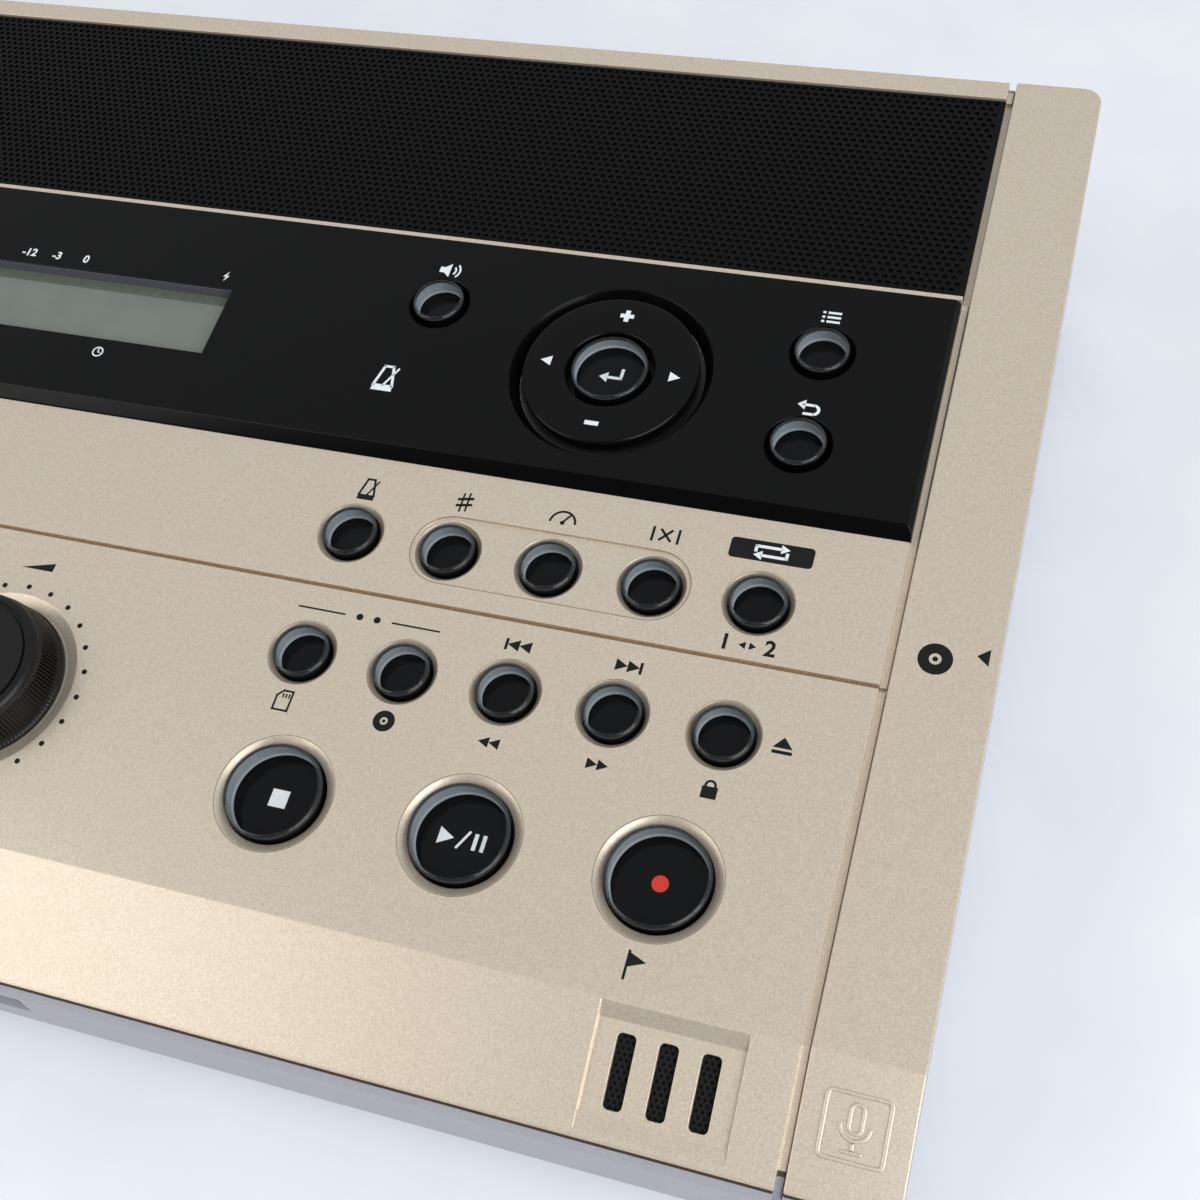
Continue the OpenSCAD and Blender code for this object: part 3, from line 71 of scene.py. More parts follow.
# Grille and display
GRILLE_V = (5.2, 61.9)
GRILLE_FACE = -0.6
GRILLE_BACK = -1.4
GRILLE_PITCH = 1.835
GRILLE_HOLE_R = 0.62
GRILLE_FIT = 0.3
CLOTH = (0.02, 0.12)
SHEET_T = 0.5
SHEET_EDGE = 0.6
DISPLAY_TOP = 2
WINDOW_X = (-73.2, -1.2)
WINDOW_V = (84.3, 101.8)
GLASS_N = -1
LIP_V = 62.92
LIP_HALF_W = 0.5
LIP_SINK = 0.2
WELL_WALL = (0.12, 0.01)
WELL_SHADE = (2.6, 0.13)
WELL_EDGE = 0.3
FILM = (-0.01, 0.02)

# Buttons, as in the solids
KEY_FIRST_X = 46.6
KEY_PITCH = 20.53
KEY_X = [KEY_FIRST_X + KEY_PITCH * column for column in range(5)]
ROW1_V = DISPLAY_FRONT + 0.19 * FIELD
ROW2_V = DISPLAY_FRONT + 0.476 * FIELD
ROW3_V = DISPLAY_FRONT + 0.773 * FIELD
BIG_FIRST_X = 51.9
BIG_PITCH = 36.1
BIG_X = [BIG_FIRST_X + BIG_PITCH * column for column in range(3)]
DISPLAY_ROW_V = (80.7, 103)
KEY_R = 5.5
BIG_R = 9.3
KEY_RISE = 1.5
RECESS_D = 0.5
RECESS_R = 7.5
KEY_DISH_R = 6.7
BIG_DISH_R = 11.3
EDGE_LINE = 0.12
PAD_X = KEY_X[2]
PAD_V = 91.9
PAD_R = 18.2
PAD_BORE_R = 9.1
PAD_TOP = 2.6
PAD_T = 2.6
PAD_ROUND = 0.7
BORE_ROUND = 0.6
PAD_MARK_R = 13.6
COLLAR_R = (10.5, 11.9)
COLLAR_LOW = -5.4
COLLAR_LAP = 0.1
PAD_FLOOR_R = (12.6, 18.98)
PAD_FLOOR_N = (-1.9, -1.3)
ENTER_R = 7.9
ENTER_TOP = 3.35
ENTER_STEM_R = 5.9
ENTER_SKIRT = -1
KEY_SINK = 3.7
BIG_SINK = 4.4
ENTER_SINK = 3.2
CORE_GAP = 0.12
CORE_FLOOR = 0.5
CUP_WALL = 0.3
CUP_EDGE = 0.8
CAP_EDGE = 0.7
CAP_LIFT = 0.2
RIM_LAP = 0.02
LINER = (0.31, 0.36)
LINER_LIFT = 0.01
# Chamfer at the liner's foot, a painted highlight along the core's edge
LINER_HIGHLIGHT_FOOT = 0.35
FLANGE_REACH = 1
FLANGE_TOP = -2.2
FLANGE_LOW = -3.2
STEM_LOW = -4.8
STEM_R = 1.75

# Knobs
VOLUME_X = -15.1
VOLUME_R = 16.6
VOLUME_RIBS = 130
LEVEL_X = -105
LEVEL_R = 9.5
LEVEL_RIBS = 76
KNOB_V = DISPLAY_FRONT + 0.672 * FIELD
KNOB_FOOT = -0.7
KNOB_TOP = 8.8
KNOB_TAPER = 1.6
KNOB_ROUND = 1.6
KNOB_LEVELS = 10
SKIRT_H = 1
SKIRT_OUT = 0.05
RIB_FOOT = 1.3
RIB_INSET = 0.35
RIB_DEPTH = 0.22
RIB_STEPS = 4
RING_GROOVE = ((0.15, 0), (0.3, 0.5), (0.8, 0.5), (0.95, 0.05))
TOP_HOLLOW = (0.22, 0.28)
SHAFT_R = 3
SHAFT_LOW = -7.5

# Dots round the volume knob, in degrees and millimetres
SCALE_SIDE = 10
SCALE_MID = 89.5
SCALE_STEP = 14.75
SCALE_R = 21
SCALE_DOT_R = 0.55

# Microphones, along the nose from the crease
MIC_X = 132.7
MIC_W = 25
MIC_SLOT_S = 11
FOAM_W = MIC_W - 2
FOAM_L = 15.5
FOAM_PITCH = 1.1
FOAM_HOLE_R = 0.36
FOAM_BACK = (-0.8, -0.45)

# Marks on the end caps
DISC_MARK = (161.8, 142.5)
ARROW_MARK = (169.9, 140.5)
SQUARE_X = 163.8
SQUARE_S = 10.4
SQUARE_OUTER = (5.4, 5.4, 1.2)
SQUARE_INNER = (4.75, 4.75, 0.6)
RIDGE_H = 0.35
RIDGE_ROUND = 0.16

PANEL = (
    Matrix.Translation((0, REAR_EDGE[1], REAR_EDGE[2]))
    @ Matrix.Rotation(PANEL_TILT, 4, "X")
    @ Matrix.Scale(MM, 4)
)
NOSE_ANGLE = math.atan2(NOSE_DROP, NOSE_LEN)
NOSE = PANEL @ Matrix.Translation((0, -FLAT_LEN, 0)) @ Matrix.Rotation(NOSE_ANGLE, 4, "X")


# Materials

def srgb(red, green, blue):
    """Linear colour of an 8-bit sRGB one."""
    linear = []
    for value in (red, green, blue):
        share = value / 255
        linear.append(share / 12.92 if share <= 0.04045 else ((share + 0.055) / 1.055) ** 2.4)
    return (*linear, 1)


class Shader:
    """Principled material with a procedural colour and bump."""

    def __init__(self, name, **values):
        self.material = bpy.data.materials.new(name)
        self.material.use_nodes = True
        self.tree = self.material.node_tree
        self.principled = self.tree.nodes["Principled BSDF"]
        for socket, value in values.items():
            self.principled.inputs[socket.replace("_", " ")].default_value = value

    def node(self, kind, **values):
        node = self.tree.nodes.new(kind)
        for socket, value in values.items():
            node.inputs[socket.replace("_", " ")].default_value = value
        return node

    def link(self, source, target):
        self.tree.links.new(source, target)

    def place(self):
        """The object's own coordinates, in metres."""
        return self.node("ShaderNodeTexCoord").outputs["Object"]

    def noise(self, grain):
        """Noise with grains of that size in millimetres."""
        node = self.node("ShaderNodeTexNoise", Scale=1 / (grain * MM), Detail=3.0)
        self.link(self.place(), node.inputs["Vector"])
        return node.outputs["Fac"]

    def flakes(self, grain):
        """A random value for each flake of that size in millimetres."""
        node = self.node("ShaderNodeTexVoronoi", Scale=1 / (grain * MM))
        self.link(self.place(), node.inputs["Vector"])
        grey = self.node("ShaderNodeRGBToBW")
        self.link(node.outputs["Color"], grey.inputs["Color"])
        return grey.outputs["Val"]

    def above(self, height):
        """0 below a height in millimetres and 1 above it."""
        split = self.node("ShaderNodeSeparateXYZ")
        self.link(self.place(), split.inputs["Vector"])
        top = (height + PAINT_EDGE) * MM
        step = self.node("ShaderNodeMapRange", From_Min=height * MM, From_Max=top)
        self.link(split.outputs["Z"], step.inputs["Value"])
        return step.outputs["Result"]

    def ramp(self, factor, low, high, start=0.3, end=0.7):
        """Colour from low to high along factor."""
        node = self.node("ShaderNodeValToRGB")
        node.color_ramp.elements[0].position = start
        node.color_ramp.elements[0].color = low
        node.color_ramp.elements[1].position = end
        node.color_ramp.elements[1].color = high
        self.link(factor, node.inputs["Fac"])
        return node.outputs["Color"]

    def mix(self, factor, low, high):
        """The colour low where factor is 0 and high where it is 1."""
        node = self.node("ShaderNodeMix")
        node.data_type = "RGBA"
        self.link(factor, node.inputs["Factor"])
        colours = [socket for socket in node.inputs if socket.type == "RGBA"]
        self.link(low, colours[0])
        self.link(high, colours[1])
        return [socket for socket in node.outputs if socket.type == "RGBA"][0]

    def paint(self, colour):
        self.link(colour, self.principled.inputs["Base Color"])

    def tint(self, factor, low, high):
        """Colours the surface from low to high along factor."""
        self.paint(self.ramp(factor, low, high))

    def bump(self, height, strength, distance):
        """Raises the surface along height, by a distance in millimetres."""
        node = self.node("ShaderNodeBump", Strength=strength, Distance=distance * MM)
        self.link(height, node.inputs["Height"])
        self.link(node.outputs["Normal"], self.principled.inputs["Normal"])


GOLD_METALLIC = 0.55
GREY_LOW = srgb(158, 158, 166)
GREY_HIGH = srgb(168, 168, 175)


def gold_paint(name, line=None):
    """Flaked gold paint. Below a line at a height in millimetres the plastic is grey, under a dark seam."""
    shader = Shader(name, Metallic=GOLD_METALLIC, Roughness=0.36)
    flakes = shader.flakes(0.22)
    gold = shader.ramp(flakes, srgb(211, 196, 176), srgb(231, 218, 200), 0.1, 0.9)
    if line:
        above = shader.above(line)
        grains = shader.noise(0.5)
        bare = shader.ramp(grains, GREY_LOW, GREY_HIGH)
        seam = shader.ramp(grains, srgb(58, 46, 38), srgb(76, 62, 50))
        below = shader.mix(shader.above(line - FRONT_SEAM_W), bare, seam)
        gold = shader.mix(above, below, gold)
        metallic = shader.node("ShaderNodeMapRange", To_Max=GOLD_METALLIC)
        shader.link(above, metallic.inputs["Value"])
        shader.link(metallic.outputs["Result"], shader.principled.inputs["Metallic"])
    shader.paint(gold)
    shader.bump(flakes, 0.25, 0.03)
    return shader.material


def plastic(name, low, high, roughness, grain=0.5, depth=0.04, gloss=0.5):
    shader = Shader(name, Roughness=roughness, Specular_IOR_Level=gloss)
    grains = shader.noise(grain)
    shader.tint(grains, low, high)
    if depth:
        shader.bump(grains, 0.3, depth)
    return shader.material


def metal(name, low, high, roughness):
    shader = Shader(name, Metallic=1.0, Roughness=roughness)
    grains = shader.noise(0.8)
    shader.tint(grains, low, high)
    shader.bump(grains, 0.1, 0.01)
    return shader.material


def clear_acrylic(name, alpha, gloss):
    """Clear plastic that hides little of what lies under it."""
    shader = Shader(name, Roughness=0.05, Specular_IOR_Level=gloss, Alpha=alpha)
    shader.tint(shader.noise(3), srgb(30, 33, 36), srgb(38, 41, 45))
    return shader.material


def liquid_crystal():
    shader = Shader("liquid_crystal", Roughness=0.22, Specular_IOR_Level=0.5)
    shader.tint(shader.noise(9), srgb(112, 118, 112), srgb(118, 124, 118))
    return shader.material


GOLD = gold_paint("gold_paint")
GOLD_ON_GREY = gold_paint("gold_on_grey", FRONT_SEAM_Z)
CASE_GREY = plastic("case_grey", GREY_LOW, GREY_HIGH, 0.5)
GLOSS_BLACK = plastic(
    "gloss_black", srgb(7, 7, 8), srgb(11, 11, 12), 0.2, grain=0.35, depth=0.004, gloss=0.16)
GRILLE_BLACK = plastic("grille_black", srgb(5, 5, 6), srgb(8, 8, 9), 0.5, grain=0.3, depth=0.02, gloss=0.15)
CLOTH_BLACK = plastic("cloth_black", srgb(5, 5, 6), srgb(9, 9, 10), 0.9, grain=0.25, depth=0.05)
CORE_BLACK = plastic("core_black", srgb(9, 9, 10), srgb(12, 12, 13), 0.12, grain=0.3, depth=0, gloss=0.2)
# Grey of the button liners is painted light: it stands in for the light that the caps' clear side walls let
# in
LINER_PAINTED_LIGHT = plastic("liner_painted_light", srgb(146, 154, 160), srgb(156, 164, 169), 0.6, grain=1.2, depth=0, gloss=0)
KNOB_BLACK = plastic(
    "knob_black", srgb(10, 10, 11), srgb(15, 15, 16), 0.36, grain=0.3, depth=0.015, gloss=0.3)
PLASTIC_BLACK = plastic("plastic_black", srgb(24, 24, 25), srgb(32, 32, 33), 0.45)
RUBBER = plastic("rubber", srgb(24, 24, 24), srgb(34, 34, 34), 0.8)
FELT = plastic("felt", srgb(15, 15, 16), srgb(28, 28, 30), 0.95, grain=0.15, depth=0.1)
BOARD = plastic("board", srgb(34, 92, 58), srgb(42, 106, 68), 0.4)
PALE_PLASTIC = plastic("pale_plastic", srgb(210, 206, 196), srgb(218, 214, 204), 0.5)
INK_BLACK = plastic(
    "ink_black", srgb(14, 13, 13), srgb(22, 20, 20), 0.6, grain=0.2, depth=0.005, gloss=0.25)
INK_WHITE = plastic("ink_white", srgb(226, 232, 234), srgb(238, 243, 245), 0.6, grain=0.2, depth=0.005)
INK_RED = plastic("ink_red", srgb(212, 52, 38), srgb(224, 62, 46), 0.6, grain=0.2, depth=0.005)
# Brown of the dish and recess edge lines: partly a fine gap line, partly painted shade at the edge
EDGE_GAP_AND_SHADE = plastic("edge_gap_and_shade", srgb(108, 92, 74), srgb(136, 118, 96), 0.7, grain=0.4, depth=0.005)
# Brown of the seam fill between the two covers is painted shade in the groove
SEAM_PAINTED_SHADE = plastic("seam_painted_shade", srgb(96, 76, 54), srgb(150, 124, 94), 0.9, grain=0.4, depth=0.1)
WELL_GREY = plastic(
    "well_grey", srgb(92, 92, 100), srgb(104, 104, 112), 0.6, grain=0.5, depth=0.01, gloss=0.2)
# Green strip of painted shadow where the display well's edge shades the liquid crystal
WELL_PAINTED_SHADOW = plastic("well_painted_shadow", srgb(86, 94, 84), srgb(94, 101, 91), 0.4, grain=2, depth=0, gloss=0.3)
STEEL = metal("steel", srgb(168, 170, 174), srgb(184, 186, 190), 0.4)
DARK_STEEL = metal("dark_steel", srgb(92, 93, 97), srgb(108, 109, 113), 0.42)
BRIGHT_STEEL = metal("bright_steel", srgb(206, 208, 212), srgb(218, 220, 223), 0.18)
PLATED = metal("plated", srgb(204, 170, 92), srgb(216, 184, 108), 0.25)
CLEAR_BODY = clear_acrylic("clear_body", 0.03, 0)
CLEAR_RIM = clear_acrylic("clear_rim", 0.4, 1)
CRYSTAL = liquid_crystal()


# Meshes

def make(name, verts, faces, matrix, material, body, nodes=(), smooth=None):
    """A piece from points in the matrix's own millimetres, riding on a body."""
    mesh = bpy.data.meshes.new(name)
    mesh.from_pydata(verts, [], faces)
    mesh.transform(matrix)
    mesh.validate()
    piece = bpy.data.objects.new(name, mesh)
    bpy.context.scene.collection.objects.link(piece)
    mesh.materials.append(material)
    if smooth:
        mesh.shade_smooth()
        mesh.set_sharp_from_angle(angle=math.radians(smooth))
    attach(piece, body)
    if nodes:
        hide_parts(*nodes)
    return piece


def on_panel(x, v, n=0):
    return PANEL @ Matrix.Translation((x, -v, n))


def arc(centre, radius, start, end, steps):
    """Points along an arc, angles in degrees."""
    points = []
    for step in range(steps + 1):
        angle = math.radians(start + (end - start) * step / steps)
        points.append((centre[0] + radius * math.cos(angle), centre[1] + radius * math.sin(angle)))
    return points


def lathe(profile, segments=72, wave=None):
    """Turns a closed (radius, height) profile round the axis.

    wave gives a radius offset for a point of the profile and a step of the turn.
    """
    verts = []
    rings = []
    for index, (radius, height) in enumerate(profile):
        if radius < 1e-6:
            rings.append([len(verts)])
            verts.append((0, 0, height))
            continue
        ring = []
        for step in range(segments):
            angle = 2 * math.pi * step / segments
            reach = radius + (wave(index, step) if wave else 0)
            ring.append(len(verts))
            verts.append((reach * math.cos(angle), reach * math.sin(angle), height))
        rings.append(ring)
    faces = []
    closed = len(rings[0]) > 1
    pairs = list(zip(rings, rings[1:] + rings[:1])) if closed else list(zip(rings, rings[1:]))
    for low, high in pairs:
        for step in range(segments):
            after = (step + 1) % segments
            if len(low) == 1:
                faces.append((low[0], high[after], high[step]))
            elif len(high) == 1:
                faces.append((low[step], low[after], high[0]))
            else:
                faces.append((low[step], low[after], high[after], high[step]))
    return verts, faces


def slab(outlines, low, high):
    """Upright prisms over flat outlines. A pair of outlines, outer and inner, gives a ring."""
    verts = []
    faces = []
    for outline in outlines:
        loops = outline if isinstance(outline, tuple) else (outline,)
        count = len(loops[0])
        rows = []
        for loop in loops:
            for height in (low, high):
                rows.append([len(verts) + i for i in range(count)])
                verts += [(x, y, height) for x, y in loop]
        if len(loops) == 1:
            faces.append(tuple(rows[1]))
            faces.append(tuple(reversed(rows[0])))
            walls = [(rows[0], rows[1])]
        else:
            walls = [(rows[0], rows[1]), (rows[1], rows[3]), (rows[3], rows[2]), (rows[2], rows[0])]
        for one, two in walls:
            for i in range(count):
                after = (i + 1) % count
                faces.append((one[i], one[after], two[after], two[i]))
    return verts, faces


RIM_WAYS = ((1, 0), (1, 1), (0, 1), (-1, 1), (-1, 0), (-1, -1), (0, -1), (1, -1))


def perforated(width, height, pitch, hole_r):
    """Flat sheet with staggered round holes, centred on the origin."""
    row_h = pitch * math.sin(math.radians(60))
    half_w = pitch / 2
    half_h = row_h / 2
    columns = int((width - SHEET_EDGE) / pitch)
    rows = int((height - SHEET_EDGE) / row_h)
    ways = len(RIM_WAYS)
    index = {}
    verts = []
    faces = []

    def point(x, y):
        key = (round(x, 3), round(y, 3))
        if key not in index:
            index[key] = len(verts)
            verts.append((x, y, 0))
        return index[key]

    def border(corners, ahead):
        quad = tuple(point(*corner) for corner in corners)
        faces.append(quad if ahead else quad[::-1])

    left = -columns * pitch / 2
    low = -rows * row_h / 2
    for row in range(rows):
        y = low + (row + 0.5) * row_h
        odd = row % 2
        for column in range(columns - odd):
            x = left + (column + 0.5 + odd / 2) * pitch
            rim = [point(x + dx * half_w, y + dy * half_h) for dx, dy in RIM_WAYS]
            hole = [point(*spot) for spot in arc((x, y), hole_r, 0, 360 - 360 / ways, ways - 1)]
            for step in range(ways):
                after = (step + 1) % ways
                faces.append((hole[step], rim[step], rim[after], hole[after]))
        if odd:
            for x0, x1 in ((left, left + half_w), (-left - half_w, -left)):
                right_side = [(x1, y - half_h), (x1, y), (x1, y + half_h)]
                left_side = [(x0, y + half_h), (x0, y)]
                corners = [(x0, y - half_h)] + right_side + left_side
                faces.append(tuple(point(*corner) for corner in corners))
    edge_x = [left + step * pitch / 2 for step in range(2 * columns + 1)]
    edge_y = [low + step * row_h / 2 for step in range(2 * rows + 1)]
    for x0, x1 in zip(edge_x, edge_x[1:]):
        for inner, outer in ((low, -height / 2), (-low, height / 2)):
            border([(x0, inner), (x1, inner), (x1, outer), (x0, outer)], inner > 0)
    spans = list(zip(edge_y, edge_y[1:])) + [(-height / 2, low), (-low, height / 2)]
    for inner, outer in ((left, -width / 2), (-left, width / 2)):
        for y0, y1 in spans:
            border([(inner, y0), (outer, y0), (outer, y1), (inner, y1)], inner > 0)
    return verts, faces


def thicken(piece, millimetres):
    """Gives a sheet its thickness, downwards from its face."""
    solid = piece.modifiers.new("thickness", "SOLIDIFY")
    solid.thickness = millimetres * MM
    solid.offset = -1


# Signs as flat outlines in millimetres

def rectangle(x0, y0, x1, y1):
    return [(x0, y0), (x1, y0), (x1, y1), (x0, y1)]


def rounded(half_w, half_h, radius):
    """Rectangle about the origin with round corners."""
    points = []
    for quarter, (x, y) in enumerate(((1, 1), (-1, 1), (-1, -1), (1, -1))):
        centre = (x * (half_w - radius), y * (half_h - radius))
        points += arc(centre, radius, 90 * quarter, 90 * quarter + 90, 5)
    return points


def disc(x, y, radius, steps=32):
    return arc((x, y), radius, 0, 360 - 360 / steps, steps - 1)


def moved(outline, x, y):
    return [(left + x, low + y) for left, low in outline]


def band(x, y, inner, outer, start, end, steps=24):
    """A whole ring, or a part of one."""
    if end - start == 360:
        return [(disc(x, y, outer, steps), disc(x, y, inner, steps))]
    return [arc((x, y), outer, start, end, steps) + arc((x, y), inner, end, start, steps)]


def stroke(points, width):
    """Bars of that width from point to point."""
    bars = []
    for (x0, y0), (x1, y1) in zip(points, points[1:]):
        length = math.hypot(x1 - x0, y1 - y0)
        dx = (x1 - x0) / length * width / 2
        dy = (y1 - y0) / length * width / 2
        bars.append([(x0 - dx + dy, y0 - dy - dx), (x1 + dx + dy, y1 + dy - dx),
                     (x1 + dx - dy, y1 + dy + dx), (x0 - dx - dy, y0 - dy + dx)])
    return bars


def triangle(x, y, width, height, way):
    """Arrow head centred on x, y, pointing right for way 1 and left for way -1."""
    tip = x + way * width / 2
    back = x - way * width / 2
    corners = [(tip, y), (back, y + height / 2), (back, y - height / 2)]
    return corners if way > 0 else corners[::-1]


def metronome(size):
    """Upright tapered box with a swinging rod."""
    h = size
    w = size * 0.36
    body = [[(-w, -h / 2), (w, -h / 2), (w * 0.92, -h * 0.26), (-w * 0.92, -h * 0.26)]]
    corners = [(-w * 0.9, -h * 0.3), (-w * 0.42, h * 0.46), (w * 0.42, h * 0.46), (w * 0.9, -h * 0.3)]
    walls = stroke(corners, h * 0.09)
    rod = stroke([(0, -h * 0.3), (w * 0.95, h * 0.4)], h * 0.07)
    return body + walls + rod


def loudspeaker(size):
    s = size
    magnet = rectangle(-0.62 * s, -0.16 * s, -0.38 * s, 0.16 * s)
    cone = [(-0.38 * s, -0.16 * s), (-0.1 * s, -0.4 * s), (-0.1 * s, 0.4 * s), (-0.38 * s, 0.16 * s)]
    near_wave = band(-0.12 * s, 0, 0.24 * s, 0.33 * s, -45, 45, 8)
    far_wave = band(-0.12 * s, 0, 0.45 * s, 0.54 * s, -45, 45, 8)
    return [magnet, cone] + near_wave + far_wave


def list_lines(size):
    marks = []
    for row in (-0.3, 0, 0.3):
        marks += [rectangle(-0.5 * size, (row - 0.07) * size, -0.34 * size, (row + 0.07) * size),
                  rectangle(-0.22 * size, (row - 0.07) * size, 0.5 * size, (row + 0.07) * size)]
    return marks


def return_arrow(size):
    s = size
    return (stroke([(-0.2 * s, 0.12 * s), (0.25 * s, 0.12 * s)], 0.13 * s)
            + band(0.25 * s, -0.11 * s, 0.165 * s, 0.295 * s, -90, 90, 12)
            + stroke([(0.25 * s, -0.34 * s), (-0.1 * s, -0.34 * s)], 0.13 * s)
            + [triangle(-0.3 * s, 0.12 * s, 0.34 * s, 0.5 * s, -1)])


def enter_arrow(size):
    s = size
    return (stroke([(0.42 * s, 0.34 * s), (0.42 * s, -0.08 * s), (-0.16 * s, -0.08 * s)], 0.13 * s)
            + [triangle(-0.32 * s, -0.08 * s, 0.36 * s, 0.5 * s, -1)])


def sharp_sign(size):
    s = size
    return (stroke([(-0.14 * s, -0.5 * s), (-0.14 * s, 0.44 * s)], 0.09 * s)
            + stroke([(0.14 * s, -0.44 * s), (0.14 * s, 0.5 * s)], 0.09 * s)
            + stroke([(-0.32 * s, -0.22 * s), (0.32 * s, -0.1 * s)], 0.14 * s)
            + stroke([(-0.32 * s, 0.12 * s), (0.32 * s, 0.24 * s)], 0.14 * s))


def gauge(size):
    s = size
    dial = band(0, -0.22 * s, 0.5 * s, 0.6 * s, 0, 180, 20)
    needle = stroke([(0, -0.2 * s), (0.26 * s, 0.18 * s)], 0.09 * s)
    return dial + needle + [disc(0, -0.22 * s, 0.1 * s, 16)]


def voice_cancel(size):
    """Two side bars and a crossed middle."""
    s = size
    return (stroke([(-0.55 * s, -0.3 * s), (-0.55 * s, 0.3 * s)], 0.11 * s)
            + stroke([(0.55 * s, -0.3 * s), (0.55 * s, 0.3 * s)], 0.11 * s)
            + stroke([(-0.22 * s, -0.24 * s), (0.22 * s, 0.24 * s)], 0.11 * s)
            + stroke([(-0.22 * s, 0.24 * s), (0.22 * s, -0.24 * s)], 0.11 * s))


def repeat_arrows(size):
    s = size
    return (stroke([(-0.5 * s, 0), (-0.5 * s, 0.16 * s), (0.28 * s, 0.16 * s)], 0.1 * s)
            + [triangle(0.42 * s, 0.16 * s, 0.28 * s, 0.32 * s, 1)]
            + stroke([(0.5 * s, 0), (0.5 * s, -0.16 * s), (-0.28 * s, -0.16 * s)], 0.1 * s)
            + [triangle(-0.42 * s, -0.16 * s, 0.28 * s, 0.32 * s, -1)])


def card_sign(size):
    s = size
    outline = [(-0.34 * s, -0.45 * s), (0.34 * s, -0.45 * s), (0.34 * s, 0.45 * s), (-0.1 * s, 0.45 * s),
               (-0.34 * s, 0.2 * s), (-0.34 * s, -0.45 * s)]
    contacts = []
    for x in (-0.06, 0.08, 0.22):
        contacts.append(rectangle(x * s - 0.035 * s, 0.12 * s, x * s + 0.035 * s, 0.32 * s))
    return stroke(outline, 0.09 * s) + contacts


def disc_sign(size):
    s = size
    return band(0, 0, 0.18 * s, 0.5 * s, 0, 360, 36) + [disc(0, 0, 0.08 * s, 16)]


def skip_sign(size, way):
    s = size
    bar = way * 0.6 * s
    return [rectangle(bar - 0.06 * s, -0.26 * s, bar + 0.06 * s, 0.26 * s),
            triangle(way * 0.3 * s, 0, 0.5 * s, 0.52 * s, way),
            triangle(-way * 0.2 * s, 0, 0.5 * s, 0.52 * s, way)]


def wind_sign(size, way):
    s = size
    return [triangle(way * 0.24 * s, 0, 0.48 * s, 0.5 * s, way),
            triangle(-way * 0.24 * s, 0, 0.48 * s, 0.5 * s, way)]


def eject_sign(size):
    s = size
    return [[(-0.45 * s, -0.1 * s), (0.45 * s, -0.1 * s), (0, 0.42 * s)],
            rectangle(-0.45 * s, -0.38 * s, 0.45 * s, -0.22 * s)]


def lock_sign(size):
    s = size
    body = rectangle(-0.32 * s, -0.45 * s, 0.32 * s, 0.06 * s)
    bow = band(0, 0.1 * s, 0.15 * s, 0.25 * s, 0, 180, 14)
    legs = [rectangle(-0.25 * s, 0.04 * s, -0.15 * s, 0.12 * s),
            rectangle(0.15 * s, 0.04 * s, 0.25 * s, 0.12 * s)]
    return [body] + bow + legs


def flag_sign(size):
    s = size
    pole = stroke([(-0.3 * s, -0.5 * s), (-0.3 * s, 0.5 * s)], 0.1 * s)
    return pole + [triangle(0.06 * s, 0.2 * s, 0.66 * s, 0.54 * s, 1)]


def volume_sign(size):
    s = size
    return [[(-0.7 * s, -0.18 * s), (0.7 * s, -0.18 * s), (0.7 * s, 0.2 * s)]]


def clock_sign(size):
    s = size
    hands = stroke([(0, 0.28 * s), (0, 0), (0.2 * s, -0.06 * s)], 0.1 * s)
    return band(0, 0, 0.38 * s, 0.5 * s, 0, 360, 30) + hands


def bolt_sign(size):
    s = size
    return [[(0.12 * s, 0.5 * s), (-0.26 * s, -0.06 * s), (-0.02 * s, -0.06 * s)],
            [(-0.12 * s, -0.5 * s), (0.26 * s, 0.06 * s), (0.02 * s, 0.06 * s)],
            [(-0.02 * s, -0.06 * s), (0.26 * s, 0.06 * s), (-0.26 * s, -0.06 * s)]]


def play_pause(size):
    s = size
    slash = stroke([(-0.16 * s, -0.3 * s), (0.16 * s, 0.3 * s)], 0.09 * s)
    bars = [rectangle(0.36 * s, -0.3 * s, 0.5 * s, 0.3 * s),
            rectangle(0.66 * s, -0.3 * s, 0.8 * s, 0.3 * s)]
    return [triangle(-0.62 * s, 0, 0.56 * s, 0.62 * s, 1)] + slash + bars


def plus_sign(size):
    s = size
    return [rectangle(-0.5 * s, -0.17 * s, 0.5 * s, 0.17 * s),
            rectangle(-0.17 * s, 0.17 * s, 0.17 * s, 0.5 * s),
            rectangle(-0.17 * s, -0.5 * s, 0.17 * s, -0.17 * s)]


def microphone_sign(size):
    s = size
    outside = moved(rounded(0.16 * s, 0.3 * s, 0.155 * s), 0, 0.17 * s)
    inside = moved(rounded(0.09 * s, 0.23 * s, 0.085 * s), 0, 0.17 * s)
    yoke = band(0, 0.06 * s, 0.25 * s, 0.32 * s, 180, 360, 16)
    stem = rectangle(-0.035 * s, -0.4 * s, 0.035 * s, -0.262 * s)
    foot = rectangle(-0.2 * s, -0.47 * s, 0.2 * s, -0.402 * s)
    return [(outside, inside)] + yoke + [stem, foot]


INK = 0.03
INK_SINK = 0.02
DIGIT_WEIGHT = 0.025


def sign(name, outlines, matrix, material, body="case", thickness=INK):
    verts, faces = slab(outlines, -INK_SINK, thickness)
    return make(name, verts, faces, matrix, material, body)


